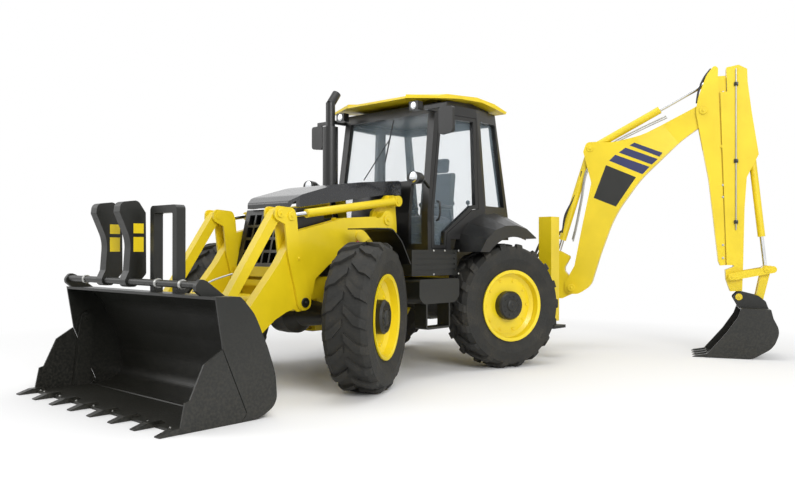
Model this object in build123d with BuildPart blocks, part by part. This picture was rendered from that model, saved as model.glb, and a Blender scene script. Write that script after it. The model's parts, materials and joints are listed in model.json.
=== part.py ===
"""Backhoe loader: jointed assembly with a four-in-one loader bucket, pallet forks and a side-shift digger.

Millimetres, +Z up.  X is the width (+X is the machine's left), Y runs from the loader back to the digger.
The origin lies on the underside of the loader bucket's jaw, on the centreline, with the ground at Z = 0.
"""
import os
from math import cos, radians, sin

from build123d import *

os.makedirs("parts", exist_ok=True)

# ---------------------------------------------------------------- driving dimensions
DATUM_Y = 1650.0            # side profiles are drawn in (u, z), with u = Y - DATUM_Y
FIT = 0.05                  # radial clearance of a pin in its bore
GAP = 5.0                   # clearance beside anything that moves

TYRE_R = 664.0
AXLE_Z = TYRE_R
FRONT_AXLE_U = 60.0
REAR_AXLE_U = 2260.0
KINGPIN_X = 800.0
WHEEL_OFFSET = 180.0        # wheel centre outboard of its kingpin

ARM_X = 455.0               # centre plane of each loader arm
ARM_HALF = 50.0
ARM_PIVOT = (880.0, 1555.0)
LEVER_PIVOT = (-222.0, 786.0)
LEVER_TOP = (-380.0, 1554.0)
LINK_TOP = (-505.0, 1575.0)
LINK_FOOT = (-1100.0, 690.0)
BUCKET_PIVOT = (-985.0, 395.0)
TILT_BASE = (1064.0, 1755.0)
LIFT_BASE = (760.0, 470.0)
LIFT_EYE = (480.0, 1390.0)
PIN_R = 30.0
ARM_PIN_R = 40.0
BUCKET_SHAFT_R = 65.0       # cross shaft that joins both bucket pins

BUCKET_HALF = 1170.0
BUCKET_WALL = 15.0
JAW_PIVOT = (-1427.0, 632.0)
FORK_SHAFT = (-1610.0, 1000.0)
FORK_SHAFT_R = 27.0

KING_X = 386.0
KING_U = 3905.0
SLEW = 66.9                 # digger arm's heading at rest, from straight back towards +X
FOOT = (420.0, 783.0)
BOOM_CYL_FOOT = (205.0, 1110.0)
KNEE = (644.0, 2540.0)
TIP = (1974.0, 2942.0)
DIPPER_ROD = (2091.0, 3327.0)
DIG_BASE = (2515.0, 2416.0)
GUIDE = (2290.0, 945.0)
GUIDE_END = (2731.0, 1034.0)
LINK_PIN = (2665.0, 1033.0)
BUCKET_A = (2366.0, 706.0)
BUCKET_B = (2583.0, 653.0)

# ---------------------------------------------------------------- drawing helpers


def side(x):
    """Plane at the given x whose local axes are u (backwards) and z."""
    return Plane(origin=(x, DATUM_Y, 0), x_dir=(0, 1, 0), z_dir=(1, 0, 0))


REACH = Vector(sin(radians(SLEW)), cos(radians(SLEW)), 0)
ACROSS = Vector(cos(radians(SLEW)), -sin(radians(SLEW)), 0)


def swung(n):
    """Plane of the digger arm, n to its side: local axes are r (away from the kingpin) and z."""
    origin = Vector(KING_X, DATUM_Y + KING_U, 0) + ACROSS * n
    return Plane(origin=origin, x_dir=REACH, z_dir=ACROSS)


def facing(u):
    """Plane at the given u whose local axes are -x and z; it is extruded backwards."""
    return Plane(origin=(0, DATUM_Y + u, 0), x_dir=(-1, 0, 0), z_dir=(0, 1, 0))


def level(z):
    """Horizontal plane whose local axes are x and u."""
    return Plane(origin=(0, DATUM_Y, z), x_dir=(1, 0, 0), z_dir=(0, 0, 1))


def face(plane, points):
    """Closed face from corner points; a third number rounds that corner."""
    radii = [point[2] if len(point) > 2 else 0 for point in points]
    with BuildSketch(plane) as drawn:
        with BuildLine():
            if any(radii):
                FilletPolyline(*[point[:2] for point in points], radius=radii, close=True)
            else:
                Polyline(*points, close=True)
        make_face()
    return drawn.sketch


def plate(points, low, high, at=side, mode=Mode.ADD):
    """Extrudes an outline between two stations of the plane family."""
    extrude(face(at(low), points), amount=high - low, mode=mode)


def pin(point, radius, low, high, at=side, mode=Mode.ADD):
    """Round bar square to the plane family, between two stations."""
    with BuildSketch(at(low)) as disc:
        with Locations(point):
            Circle(radius)
    extrude(disc.sketch, amount=high - low, mode=mode)


def block(x, u, z, mode=Mode.ADD):
    """Rectangular block from (low, high) pairs."""
    plate([(u[0], z[0]), (u[1], z[0]), (u[1], z[1]), (u[0], z[1])], x[0], x[1], mode=mode)


def bar(start, end, radius, mode=Mode.ADD):
    """Round bar between two points (x, u, z)."""
    first = Vector(start[0], DATUM_Y + start[1], start[2])
    last = Vector(end[0], DATUM_Y + end[1], end[2])
    with BuildSketch(Plane(origin=first, z_dir=last - first)) as disc:
        Circle(radius)
    extrude(disc.sketch, amount=(last - first).length, mode=mode)


def rod_between(start, end, radius, station, at, begin=0.0, finish=0.0, mode=Mode.ADD):
    """Round bar in a plane family from start to end, trimmed by begin and finish at its ends."""
    plane = at(station)
    first = plane.from_local_coords(Vector(start[0], start[1], 0))
    last = plane.from_local_coords(Vector(end[0], end[1], 0))
    along = (last - first).normalized()
    with BuildSketch(Plane(origin=first + along * begin, z_dir=along)) as disc:
        Circle(radius)
    extrude(disc.sketch, amount=(last - first).length - begin - finish, mode=mode)


def strap(start, end, r_start, r_end, low, high, at=side, mode=Mode.ADD):
    """Flat link with round ends around two pins."""
    across = Vector(end[0] - start[0], end[1] - start[1], 0).normalized()
    side_way = Vector(-across.Y, across.X, 0)
    a, b = Vector(*start, 0), Vector(*end, 0)
    points = [a + side_way * r_start, a - side_way * r_start, b - side_way * r_end, b + side_way * r_end]
    plate([(p.X, p.Y) for p in points], low, high, at, mode)
    pin(start, r_start, low, high, at, mode)
    pin(end, r_end, low, high, at, mode)


def finish(part, label):
    """Names a finished sub-part and writes its STEP file."""
    part.label = label
    export_step(part, f"parts/{label}.step")


# ---------------------------------------------------------------- wheels, hubs and axles
# name, sign of x, axle u, steer angle about +Z at rest
WHEELS = (
    ("front_left", 1, FRONT_AXLE_U, 26.0),
    ("front_right", -1, FRONT_AXLE_U, 22.0),
    ("rear_left", 1, REAR_AXLE_U, -18.0),
    ("rear_right", -1, REAR_AXLE_U, -15.5),
)
BEAD_R = 358.0
TREAD_R = 634.0
# (distance along the spin axis, radius) of the carcass, of the lugs' envelope and of the rim with its hub
TYRE_PROFILE = ((-170, BEAD_R), (-172, 386), (-210, 500), (-198, 600), (-150, TREAD_R), (150, TREAD_R), (198, 600),
                (210, 500), (172, 386), (170, BEAD_R))
LUG_PROFILE = ((0, 600), (0, TYRE_R), (148, TYRE_R), (188, 632), (205, 560), (160, 560))
LUG_OUTLINE = ((6, -26), (6, 34), (112, -58), (222, -96), (222, -168), (96, -128))
LUG_COUNT = 18
RIM_PROFILE = ((-190, 380), (-176, 380), (-176, BEAD_R), (176, BEAD_R), (176, 380), (190, 380), (190, 368),
               (183, 346), (112, 342), (84, 304), (84, 150), (160, 150), (176, 134), (176, 62), (190, 56), (190, 0),
               (42, 0), (42, 210), (70, 232), (70, 304), (-112, 342), (-183, 346), (-190, 368))
KINGPIN_R = 28.0
KNUCKLE_TOP = 132.0
EAR_TOP = 190.0


def lugged_tyre():
    """Carcass with two staggered rows of slanted lugs, its spin axis along local X through the origin."""
    spin = Axis((0, 0, 0), (1, 0, 0))
    with BuildPart() as lug:
        extrude(face(Plane(origin=(0, 0, 560), x_dir=(1, 0, 0), z_dir=(0, 0, 1)), LUG_OUTLINE), amount=140)
        with BuildPart(mode=Mode.INTERSECT):
            revolve(face(Plane.XZ, LUG_PROFILE), axis=spin)
    pitch = 360.0 / LUG_COUNT
    with BuildPart() as body:
        revolve(face(Plane.XZ, TYRE_PROFILE), axis=spin)
        rows = [lug.part.rotate(Axis.X, index * pitch) for index in range(LUG_COUNT)]
        rows += [mirror(lug.part, about=Plane.YZ).rotate(Axis.X, (index + 0.5) * pitch) for index in range(LUG_COUNT)]
        add(rows)
    return body.part


TYRE = lugged_tyre()
for name, sign, axle_u, steer in WHEELS:
    axle = Vector(sign * cos(radians(steer)), sign * sin(radians(steer)), 0)
    kingpin = Vector(sign * KINGPIN_X, DATUM_Y + axle_u, AXLE_Z)
    centre = kingpin + axle * WHEEL_OFFSET
    radial = Plane(origin=centre, x_dir=axle, z_dir=axle.cross(Vector(0, 0, 1)))
    spin = Axis(centre, axle)

    finish(TYRE.moved(Location(Plane(origin=centre, x_dir=axle * sign, z_dir=(0, 0, 1)))), f"tyre_{name}")

    with BuildPart() as rim:
        revolve(face(radial, RIM_PROFILE), axis=spin)
    finish(rim.part, f"rim_{name}")

    with BuildPart() as knuckle:
        revolve(face(radial, [(-215, 0), (-215, 80), (-112, 112), (-66, 200), (30, 200), (41, 185), (41, 0)]),
                axis=spin)
        with BuildSketch(Plane(origin=kingpin - Vector(0, 0, KNUCKLE_TOP))):
            Circle(75)
        extrude(amount=2 * KNUCKLE_TOP)
        with BuildSketch(Plane(origin=kingpin - Vector(0, 0, EAR_TOP + 8))):
            Circle(KINGPIN_R)
        extrude(amount=2 * (EAR_TOP + 8))
    finish(knuckle.part, f"knuckle_{name}")

YOKE = [(560, -80), (620, -EAR_TOP), (850, -EAR_TOP), (850, -KNUCKLE_TOP - GAP), (675, -KNUCKLE_TOP - GAP),
        (640, -80), (640, 80), (675, KNUCKLE_TOP + GAP), (850, KNUCKLE_TOP + GAP), (850, EAR_TOP),
        (620, EAR_TOP), (560, 80)]
AXLE_CASE = [(0, 0), (0, 205), (110, 200), (215, 130), (560, 88), (640, 95), (640, 0)]

with BuildPart() as axles:
    for axle_u in (FRONT_AXLE_U, REAR_AXLE_U):
        middle = Plane(origin=(0, DATUM_Y + axle_u, AXLE_Z), x_dir=(1, 0, 0), z_dir=(0, -1, 0))
        revolve(face(middle, AXLE_CASE), axis=Axis(middle.origin, (1, 0, 0)))
        extrude(face(middle, YOKE), amount=70, both=True)
        with BuildSketch(Plane(origin=(KINGPIN_X, DATUM_Y + axle_u, AXLE_Z - EAR_TOP - 1))):
            Circle(KINGPIN_R + FIT)
        extrude(amount=2 * EAR_TOP + 2, mode=Mode.SUBTRACT)
    mirror(about=Plane.YZ)
finish(axles.part, "axles")

# ---------------------------------------------------------------- chassis
RAIL_X = (300.0, 360.0)
RAIL_Z = (800.0, 1000.0)
TOWER_X = (345.0, 385.0)
FRAME_REAR_U = 3140.0

with BuildPart() as main_frame:
    block(RAIL_X, (-250, 3000), RAIL_Z)
    plate([(700, 700), (1150, 700), (1150, 1500), (1120, 1815, 20), (1000, 1815, 20), (800, 1640), (700, 1300)],
          *TOWER_X)
    pin(ARM_PIVOT, 75, TOWER_X[1], ARM_X - ARM_HALF - GAP)
    pin(ARM_PIVOT, ARM_PIN_R, TOWER_X[1], ARM_X + ARM_HALF + 10)
    pin(TILT_BASE, 62, TOWER_X[1], ARM_X - 45)
    pin(TILT_BASE, PIN_R, TOWER_X[1], ARM_X + 45)
    block((360, 405), (690, 830), (400, 1000))
    block((400, 522), (690, 830), (392, 414))
    plate([(690, 392), (830, 392), (830, 500, 40), (790, 530, 30), (730, 530, 30), (690, 500, 40)], 505, 522)
    pin(LIFT_BASE, PIN_R, 400, 530)
    plate([(2900, 800), (3000, 560), (FRAME_REAR_U, 560), (FRAME_REAR_U, 1140), (3000, 1140), (2900, 1000)],
          *RAIL_X)
    mirror(about=Plane.YZ)
    block((-340, 340), (-250, -190), (780, 1110))
    block((-340, 340), (-360, -250), (1010, 1100))
    block((-340, 340), (-360, -250), (925, 980))
    for u in (560, 1500, 2750):
        block((-300, 300), (u, u + 120), (820, 980))
finish(main_frame.part, "main_frame")

with BuildPart() as engine_block:
    block((-270, 270), (165, 1060), (1005, 1560))
finish(engine_block.part, "engine_block")

# ---------------------------------------------------------------- hood and guard
HOOD_HALF = 366.0
HOOD_CROWN = ((-230, 1700, 30), (-119, 1765, 200), (322, 1886, 900), (645, 1927, 900), (1240, 1981, 40))
HOOD_EDGE = ((1240, 1830), (969, 1817), (645, 1768), (322, 1719), (-119, 1652), (-230, 1648))
EXHAUST = (-322.0, 870.0)

with BuildPart() as hood:
    plate(list(HOOD_CROWN) + list(HOOD_EDGE), -HOOD_HALF, HOOD_HALF)
    plate([(-240, 1600), (-190, 1690), (-119, 1740, 180), (322, 1861, 880), (645, 1902, 880), (1215, 1954),
           (1215, 1600)], -HOOD_HALF + 20, HOOD_HALF - 20, mode=Mode.SUBTRACT)
    block((-400, -232), (765, 1300), (1700, 2100), mode=Mode.SUBTRACT)
    for x in (-1, 1):
        corner = [(x * 250, -300), (x * 420, -300), (x * 420, -70)]
        extrude(face(level(1600), corner), amount=300, mode=Mode.SUBTRACT)
finish(hood.part, "hood")

GUARD_COLUMNS = 6
GUARD_ROWS = (1135.0, 1255.0, 1375.0, 1495.0)
with BuildPart() as grille_guard:
    plate([(-310, 1100), (-185, 1640), (150, 1640), (150, 1100)], -370, 370)
    plate([(-296, 1090), (-170, 1650), (160, 1650), (160, 1090)], -358, 358, mode=Mode.SUBTRACT)
    block((-358, 358), (140, 150), (1100, 1640))
    for column in range(GUARD_COLUMNS):
        x = -315 + column * 630 / GUARD_COLUMNS
        for z in GUARD_ROWS:
            block((x + 12, x + 630 / GUARD_COLUMNS - 12), (-330, -130), (z, z + 95), mode=Mode.SUBTRACT)
finish(grille_guard.part, "grille_guard")

with BuildPart() as exhaust_stack:
    block((-275, -205), (835, 905), (1560, 1600))
    bar((-242, EXHAUST[1], 1585), (-312, EXHAUST[1], 1860), 32)
    bar((EXHAUST[0], EXHAUST[1], 1840), (EXHAUST[0], EXHAUST[1], 2570), 82)
    bar((EXHAUST[0], EXHAUST[1], 2570), (EXHAUST[0], EXHAUST[1], 2830), 50)
    bar((EXHAUST[0], EXHAUST[1], 2815), (EXHAUST[0], EXHAUST[1] + 90, 2940), 48)
finish(exhaust_stack.part, "exhaust_stack")

# ---------------------------------------------------------------- cab
CAB_WALL = 45.0
# z, then half width and u at the front, at the widest point and at the rear
CAB_SECTIONS = (
    (1000, (700, 1285), (800, 2160), (730, 2700)),
    (1650, (687, 1288), (790, 2150), (720, 2685)),
    (2790, (665, 1440), (737, 2050), (680, 2480)),
)
CAB_TOP = 2790.0
ROOF_UNDERSIDE = [(1200, 2795), (1700, 2850), (2100, 2866), (2392, 2826), (2600, 2790)]


def cab_hull(inset, base, top):
    """Cab body between two heights, drawn in from the outer surface by inset."""
    heights = sorted({base, 1650.0, top})
    with BuildPart() as body:
        for z in heights:
            low, high = (CAB_SECTIONS[0], CAB_SECTIONS[1]) if z <= 1650 else (CAB_SECTIONS[1], CAB_SECTIONS[2])
            share = (z - low[0]) / (high[0] - low[0])
            front, wide, rear = (
                tuple(a + (b - a) * share for a, b in zip(low[k], high[k])) for k in (1, 2, 3))
            half = [(front[0] - inset, front[1] + inset), (wide[0] - inset, wide[1]),
                    (rear[0] - inset, rear[1] - inset)]
            with BuildSketch(level(z)):
                with BuildLine():
                    Polyline(*half, *[(-x, u) for x, u in reversed(half)], close=True)
                make_face()
        loft(ruled=True)
    return body.part


WELL_X = 480.0
WELL_TOP = 1370.0
WELL_FRONT = 1620.0


def wells(grow):
    """The two rear wheel wells under the cab, grown by the given amount."""
    with BuildPart() as space:
        block((WELL_X - grow, 1000), (WELL_FRONT - grow, 3000), (900, WELL_TOP + grow))
        mirror(about=Plane.YZ)
    return space.part


DOOR_OPENING = [(1335, 1272), (1545, 1272), (1565, 1432), (1950, 1690), (2045, 1700), (2045, 2690), (1492, 2690),
                (1335, 1650)]
DOOR_EDGE = [(1340, 1277), (1540, 1277), (1560, 1435), (1948, 1695), (2040, 1705), (2040, 2685), (1497, 2685),
             (1340, 1650)]
DOOR_GLASS = [(1380, 1310), (1512, 1310), (1530, 1450), (1930, 1735), (1995, 1745), (1995, 2645), (1525, 2645),
              (1380, 1665)]
DOOR_X = (600.0, 1000.0)
QUARTER = [(2170, 1740), (2600, 1740), (2465, 2670), (2125, 2670)]
SHELL = cab_hull(0, 1000.0, CAB_TOP) - wells(0)
ROOM = cab_hull(CAB_WALL, 1050.0, 2745.0)
INSIDE = ROOM - wells(CAB_WALL)
GLASS_SKIN = ROOM - cab_hull(CAB_WALL + 7, 1050.0, 2745.0)

with BuildPart() as cab_frame:
    add(SHELL)
    plate([(1450, CAB_TOP - 5)] + [(u, z) for u, z in ROOF_UNDERSIDE[1:-1]] + [(2460, CAB_TOP - 5)], -640, 640)
    add(INSIDE, mode=Mode.SUBTRACT)
    for sign in (-1, 1):
        plate(DOOR_OPENING, sign * DOOR_X[0], sign * DOOR_X[1], mode=Mode.SUBTRACT)
    plate(QUARTER, -1000, 1000, mode=Mode.SUBTRACT)
    plate([(-600, 1985), (600, 1985), (580, 2690), (-580, 2690)], 1200, 1600, facing, Mode.SUBTRACT)
    for x in (-1, 1):
        plate([(x * 430, 1320), (x * 606, 1320), (x * 603, 1950), (x * 430, 1950)], 1200, 1500, facing, Mode.SUBTRACT)
    plate([(-640, 1480), (640, 1480), (600, 2660), (-600, 2660)], 2300, 2800, facing, Mode.SUBTRACT)
finish(cab_frame.part, "cab_frame")

with BuildPart() as glass_zone:
    plate([(2150, 1720), (2622, 1720), (2485, 2690), (2105, 2690)], -1000, 1000)
    plate([(-620, 1965), (620, 1965), (600, 2710), (-600, 2710)], 1200, 1530, facing)
    for x in (-1, 1):
        plate([(x * 412, 1302), (x * 622, 1302), (x * 620, 1960), (x * 412, 1960)], 1200, 1400, facing)
    plate([(-650, 1460), (650, 1460), (612, 2680), (-612, 2680)], 2380, 2800, facing)
with BuildPart() as cab_glass:
    add(GLASS_SKIN)
    add(glass_zone.part, mode=Mode.INTERSECT)
finish(cab_glass.part, "cab_glass")

for name, sign in (("left", 1), ("right", -1)):
    with BuildPart() as door:
        plate(DOOR_EDGE, sign * DOOR_X[0], sign * DOOR_X[1])
        add(SHELL, mode=Mode.INTERSECT)
        add(ROOM, mode=Mode.SUBTRACT)
        plate(DOOR_GLASS, sign * DOOR_X[0], sign * DOOR_X[1], mode=Mode.SUBTRACT)
    finish(door.part, f"door_{name}")

    with BuildPart() as door_glass:
        with BuildSketch(side(0)):
            with BuildLine():
                Polyline(*DOOR_GLASS, close=True)
            make_face()
            offset(amount=18, kind=Kind.INTERSECTION)
        extrude(amount=sign * 1000)
        add(GLASS_SKIN, mode=Mode.INTERSECT)
    finish(door_glass.part, f"door_glass_{name}")

# top edge of the roof's side lobes, (u, z) at their inner and their outer side
LOBE_X = (430.0, 775.0)
LOBE_INNER = [(1240, 2878), (1420, 2904), (2017, 2928), (2344, 2898), (2570, 2840)]
LOBE_OUTER = [(1336, 2834), (1500, 2874), (2017, 2912), (2344, 2884), (2580, 2826)]
CROWN = [(1230, 2858), (1420, 2880), (2017, 2905), (2344, 2874), (2560, 2822)]
UNDER = [(2560, 2800), (2392, 2829), (2100, 2870), (1700, 2854)]

with BuildPart() as cab_roof:
    plate([(1226, 2834)] + CROWN + UNDER, -LOBE_X[0], LOBE_X[0])
    with BuildPart() as lobe:
        add(face(side(LOBE_X[0]), [(1233, 2840)] + LOBE_INNER + UNDER))
        add(face(side(LOBE_X[1]), [(1330, 2808)] + LOBE_OUTER + UNDER))
        loft(ruled=True)
        mirror(about=Plane.YZ)
    add(lobe.part)
finish(cab_roof.part, "cab_roof")

with BuildPart() as cab_interior:
    block((-240, 240), (1840, 2280), (1440, 1560))
    plate([(2210, 1560), (2280, 1560), (2350, 2150, 30), (2270, 2150, 30)], -220, 220)
    block((-180, 180), (1940, 2180), (1051, 1440))
    plate([(1360, 1051), (1560, 1051), (1500, 1700), (1400, 1780)], -220, 220)
    bar((0, 1500, 1650), (0, 1600, 1800), 30)
    with BuildSketch(Plane(origin=(0, DATUM_Y + 1600, 1800), z_dir=(0, 0.47, 0.88), x_dir=(1, 0, 0))) as wheel:
        Circle(195)
        Circle(168, mode=Mode.SUBTRACT)
        Rectangle(370, 34)
    extrude(wheel.sketch, amount=28)
finish(cab_interior.part, "cab_interior")

TANK_OUTLINE = [(860, 970, 30), (860, 790, 60), (930, 730, 60), (1410, 730, 60), (1480, 790, 60), (1480, 970, 30)]
STEP_OUTLINE = [(960, 740), (960, 480, 30), (1330, 480, 30), (1330, 740), (1310, 740), (1310, 500, 12),
                (980, 500, 12), (980, 740)]
SKIRT_GROOVES = (1050.0, 1105.0, 1160.0, 1215.0)
with BuildPart() as side_bodywork:
    plate(TANK_OUTLINE, 420, 950)
    block((386, 420), (900, 1140), (810, 960))
    plate(STEP_OUTLINE, 800, 950)
    block((386, 850), (860, 1570), (1000, 1258))
    for z in SKIRT_GROOVES:
        block((842, 851), (900, 1530), (z, z + 16), mode=Mode.SUBTRACT)
    add(SHELL, mode=Mode.SUBTRACT)
    mirror(about=Plane.YZ)
finish(side_bodywork.part, "side_bodywork")

# rear fender: (u, z) of its inner edge beside the cab and of its outer crease, front to back
FENDER_X = (700.0, 1100.0)
FENDER_FOOT_Z = 1237.0
FENDER_INNER = [(1695, FENDER_FOOT_Z), (1771, 1442), (1876, 1567), (2083, 1679), (2366, 1697), (2640, 1650),
                (2923, 1538), (3030, 1400), (3030, FENDER_FOOT_Z)]
FENDER_OUTER = [(1640, FENDER_FOOT_Z), (1750, 1370), (1911, 1467), (2090, 1515), (2300, 1524), (2500, 1490),
                (2680, 1400), (2760, 1320), (2760, FENDER_FOOT_Z)]
FENDER_WALL = 12.0
ARCH_R = 735.0
FRONT_FENDER = [(200, 1455), (415, 1457, 120), (545, 1340, 300), (670, 1125), (660, 1121), (536, 1334, 290),
                (411, 1447, 110), (200, 1445)]
FRONT_FENDER_X = (640.0, 1010.0)


def inward(points, amount):
    """Outline drawn in by amount on all but its flat foot."""
    middle = Vector(2300, FENDER_FOOT_Z, 0)
    drawn = [Vector(*point, 0) + (middle - Vector(*point, 0)).normalized() * amount for point in points[1:-1]]
    foot = (points[0][0] + amount, points[-1][0] - amount)
    return [(foot[0], FENDER_FOOT_Z - 1)] + [(p.X, p.Y) for p in drawn] + [(foot[1], FENDER_FOOT_Z - 1)]


def dome(inner, outer, low, high):
    """Fender body lofted from its inner to its outer outline."""
    with BuildPart() as body:
        add(face(side(low), inner))
        add(face(side(high), outer))
        loft(ruled=True)
    return body.part


with BuildPart() as fenders:
    add(dome(FENDER_INNER, FENDER_OUTER, *FENDER_X))
    add(dome(inward(FENDER_INNER, FENDER_WALL), inward(FENDER_OUTER, FENDER_WALL), FENDER_X[0] - 1,
             FENDER_X[1] - FENDER_WALL), mode=Mode.SUBTRACT)
    pin((REAR_AXLE_U, AXLE_Z), ARCH_R, FENDER_X[1] - 40, FENDER_X[1] + 1, mode=Mode.SUBTRACT)
    block((FENDER_X[0] - 1, FENDER_X[1] + 1), (2480, 3100), (1200, 1385), mode=Mode.SUBTRACT)
    add(SHELL, mode=Mode.SUBTRACT)
    plate(FRONT_FENDER, *FRONT_FENDER_X)
    block((640, 700), (655, 838), (1105, 1150))
    bar((TOWER_X[1] + 1, 820, 1125), (645, 820, 1125), 18)
    mirror(about=Plane.YZ)
finish(fenders.part, "fenders")

# u, x and z of the work lamps' bodies and their half sizes
LAMPS = (
    (1265, 548, 2745, 40, 60, 45),
)
HEADLAMP = (780.0, 1970.0)
MIRROR = [(867, 2410, 40), (1047, 2430, 40), (1047, 2688, 30), (867, 2688, 30)]
with BuildPart() as lamps_and_mirrors:
    for u, x, z, half_u, half_x, half_z in LAMPS:
        block((x - half_x, x + half_x), (u - half_u, u + half_u), (z - half_z, z + half_z))
    for u, half_x, half_z in ((960, 88, 62), (1030, 80, 56), (1110, 30, 24)):
        with BuildSketch(facing(u)):
            with Locations((-HEADLAMP[0], HEADLAMP[1])):
                Ellipse(half_x, half_z)
    loft(ruled=True)
    plate([(-x, z, r) for x, z, r in MIRROR], 0, 40, lambda n: facing(1243 + n))
    bar((700, 1292, 1900), (780, 1100, 1970), 16)
    block((668, 960), (1252, 1274), (2690, 2730))
    block((668, 700), (1252, 1440), (2690, 2730))
    add(SHELL, mode=Mode.SUBTRACT)
    mirror(about=Plane.YZ)
finish(lamps_and_mirrors.part, "lamps_and_mirrors")

# ---------------------------------------------------------------- loader arms and linkage
ARM_OUTLINE = [(785, 1555, 80), (845, 1655, 70), (960, 1640, 80), (975, 1500, 80), (880, 1455, 60), (840, 1460),
               (92, 1119), (-74, 992), (-150, 720, 60), (-285, 705, 40), (-327, 732), (-417, 709), (-541, 648),
               (-686, 536), (-930, 345, 30), (-1020, 330, 50), (-1060, 410, 50), (-1040, 497), (-828, 746),
               (-498, 1134), (-330, 1390, 20), (-295, 1420, 20), (295, 1559), (700, 1585)]
ARM_CORE = [(200, 1560), (200, 1190), (92, 1119), (-74, 992), (-150, 800), (-285, 705, 40), (-327, 732),
            (-417, 709), (-541, 648), (-686, 536), (-930, 345, 30), (-1020, 330, 50), (-1060, 410, 50),
            (-1040, 497), (-828, 746), (-498, 1134), (-330, 1390, 20), (-295, 1420, 20), (190, 1530)]
TORQUE_TUBE = (-450.0, 790.0)

with BuildPart() as loader_arms:
    for low, high in ((405, 423), (487, 505)):
        plate(ARM_OUTLINE, low, high)
    plate(ARM_CORE, 423, 487)
    pin(ARM_PIVOT, 80, 423, 487)
    pin(LIFT_EYE, 45, 505, 513)
    pin(ARM_PIVOT, ARM_PIN_R + FIT, 400, 510, mode=Mode.SUBTRACT)
    pin(LEVER_PIVOT, PIN_R + FIT, 400, 510, mode=Mode.SUBTRACT)
    pin(BUCKET_PIVOT, PIN_R + FIT, 400, 510, mode=Mode.SUBTRACT)
    pin(TORQUE_TUBE, 62, 0, 405)
    mirror(about=Plane.YZ)
finish(loader_arms.part, "loader_arms")

LEVER_OUT = (378.0, 398.0)
LEVER_IN = (512.0, 532.0)
LEVER_OUTLINE = [(-300, 760, 60), (-240, 705, 60), (-150, 740, 60), (-150, 830), (-285, 1250), (-318, 1560, 60),
                 (-350, 1625, 50), (-560, 1640, 45), (-565, 1530, 45), (-450, 1480), (-415, 1200), (-330, 900)]
with BuildPart() as lever_pins:
    pin(LEVER_PIVOT, PIN_R, 372, 540)
    pin(LEVER_PIVOT, 42, 533, 540)
    mirror(about=Plane.YZ)
finish(lever_pins.part, "lever_pins")

with BuildPart() as tilt_levers:
    for low, high in (LEVER_OUT, LEVER_IN):
        plate(LEVER_OUTLINE, low, high)
        for point in (LEVER_PIVOT, LINK_TOP):
            pin(point, PIN_R + FIT, low - 1, high + 1, mode=Mode.SUBTRACT)
    pin(LEVER_TOP, 42, LEVER_IN[1], LEVER_IN[1] + 8)
    mirror(about=Plane.YZ)
finish(tilt_levers.part, "tilt_levers")

with BuildPart() as link_pins:
    pin(LINK_TOP, PIN_R, 374, 538)
    mirror(about=Plane.YZ)
finish(link_pins.part, "link_pins")

with BuildPart() as tilt_links:
    strap(LINK_TOP, LINK_FOOT, 44, 44, 410, 500)
    pin(LINK_TOP, PIN_R + FIT, 405, 505, mode=Mode.SUBTRACT)
    mirror(about=Plane.YZ)
finish(tilt_links.part, "tilt_links")

# ---------------------------------------------------------------- loader bucket
BACK_OUTLINE = [(-1600, 922), (-1383, 917, 60), (-1257, 783, 400), (-1138, 527, 400), (-1065, 328, 400),
                (-1045, 93, 120), (-1209, 3, 280), (-1381, 0), (-1325, 59), (-1537, 546)]
BACK_INSIDE = [(-1700, 900), (-1390, 900, 45), (-1272, 776, 385), (-1153, 523, 385), (-1080, 325, 385),
               (-1060, 98, 105), (-1213, 17, 265), (-1500, 17)]
JAW_OUTLINE = [(-1544, 546), (-1696, 454), (-1807, 222), (-1847, 210), (-1886, 18), (-1886, 0), (-1387, 0),
               (-1331, 57)]
BUCKET_LUG = [(-1040, 250), (-985, 328, 50), (-918, 380, 50), (-940, 450, 50), (-1040, 640), (-1048, 720, 50),
              (-1110, 750, 50), (-1240, 770), (-1180, 560), (-1110, 330)]
JAW_ARM = [(-1400, 18), (-1560, 18), (-1500, 560), (-1477, 660, 40), (-1440, 690, 40), (-1377, 670, 40),
           (-1372, 600, 40)]

with BuildPart() as bucket_pins:
    pin(BUCKET_PIVOT, PIN_R, 374, 538)
    pin(BUCKET_PIVOT, BUCKET_SHAFT_R, 0, 374)
    mirror(about=Plane.YZ)
finish(bucket_pins.part, "bucket_pins")

with BuildPart() as bucket_back:
    plate(BACK_OUTLINE, -BUCKET_HALF, BUCKET_HALF)
    plate(BACK_INSIDE, -BUCKET_HALF + BUCKET_WALL, BUCKET_HALF - BUCKET_WALL, mode=Mode.SUBTRACT)
    for low, high in ((1100, 1155), (-1155, -1100)):
        pin(JAW_PIVOT, 25, low, high)
    pin(FORK_SHAFT, FORK_SHAFT_R, -1100, 1000)
    for low, high in ((960, 1000), (-1100, -1060)):
        plate([(-1655, 1000, 40), (-1610, 1050, 40), (-1560, 1030), (-1400, 915), (-1592, 915), (-1650, 960, 30)],
              low, high)
finish(bucket_back.part, "bucket_back")

with BuildPart() as bucket_jaw:
    for low, high in ((1155, 1170), (-1170, -1155)):
        plate(JAW_OUTLINE, low, high)
    plate([(-1886, 0), (-1886, 18), (-1860, 20), (-1400, 20), (-1387, 0)], -1155, 1155)
    for low, high in ((1110, 1135), (-1135, -1110)):
        plate(JAW_ARM, low, high)
        pin(JAW_PIVOT, 25 + FIT, low - 1, high + 1, mode=Mode.SUBTRACT)
    for index in range(8):
        x = -1135 + index * 2270 / 7
        plate([(-1800, 20), (-1835, 44), (-1935, 40), (-2040, 8), (-2040, 0), (-1800, 0)], x - 32, x + 32)
finish(bucket_jaw.part, "bucket_jaw")

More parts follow.
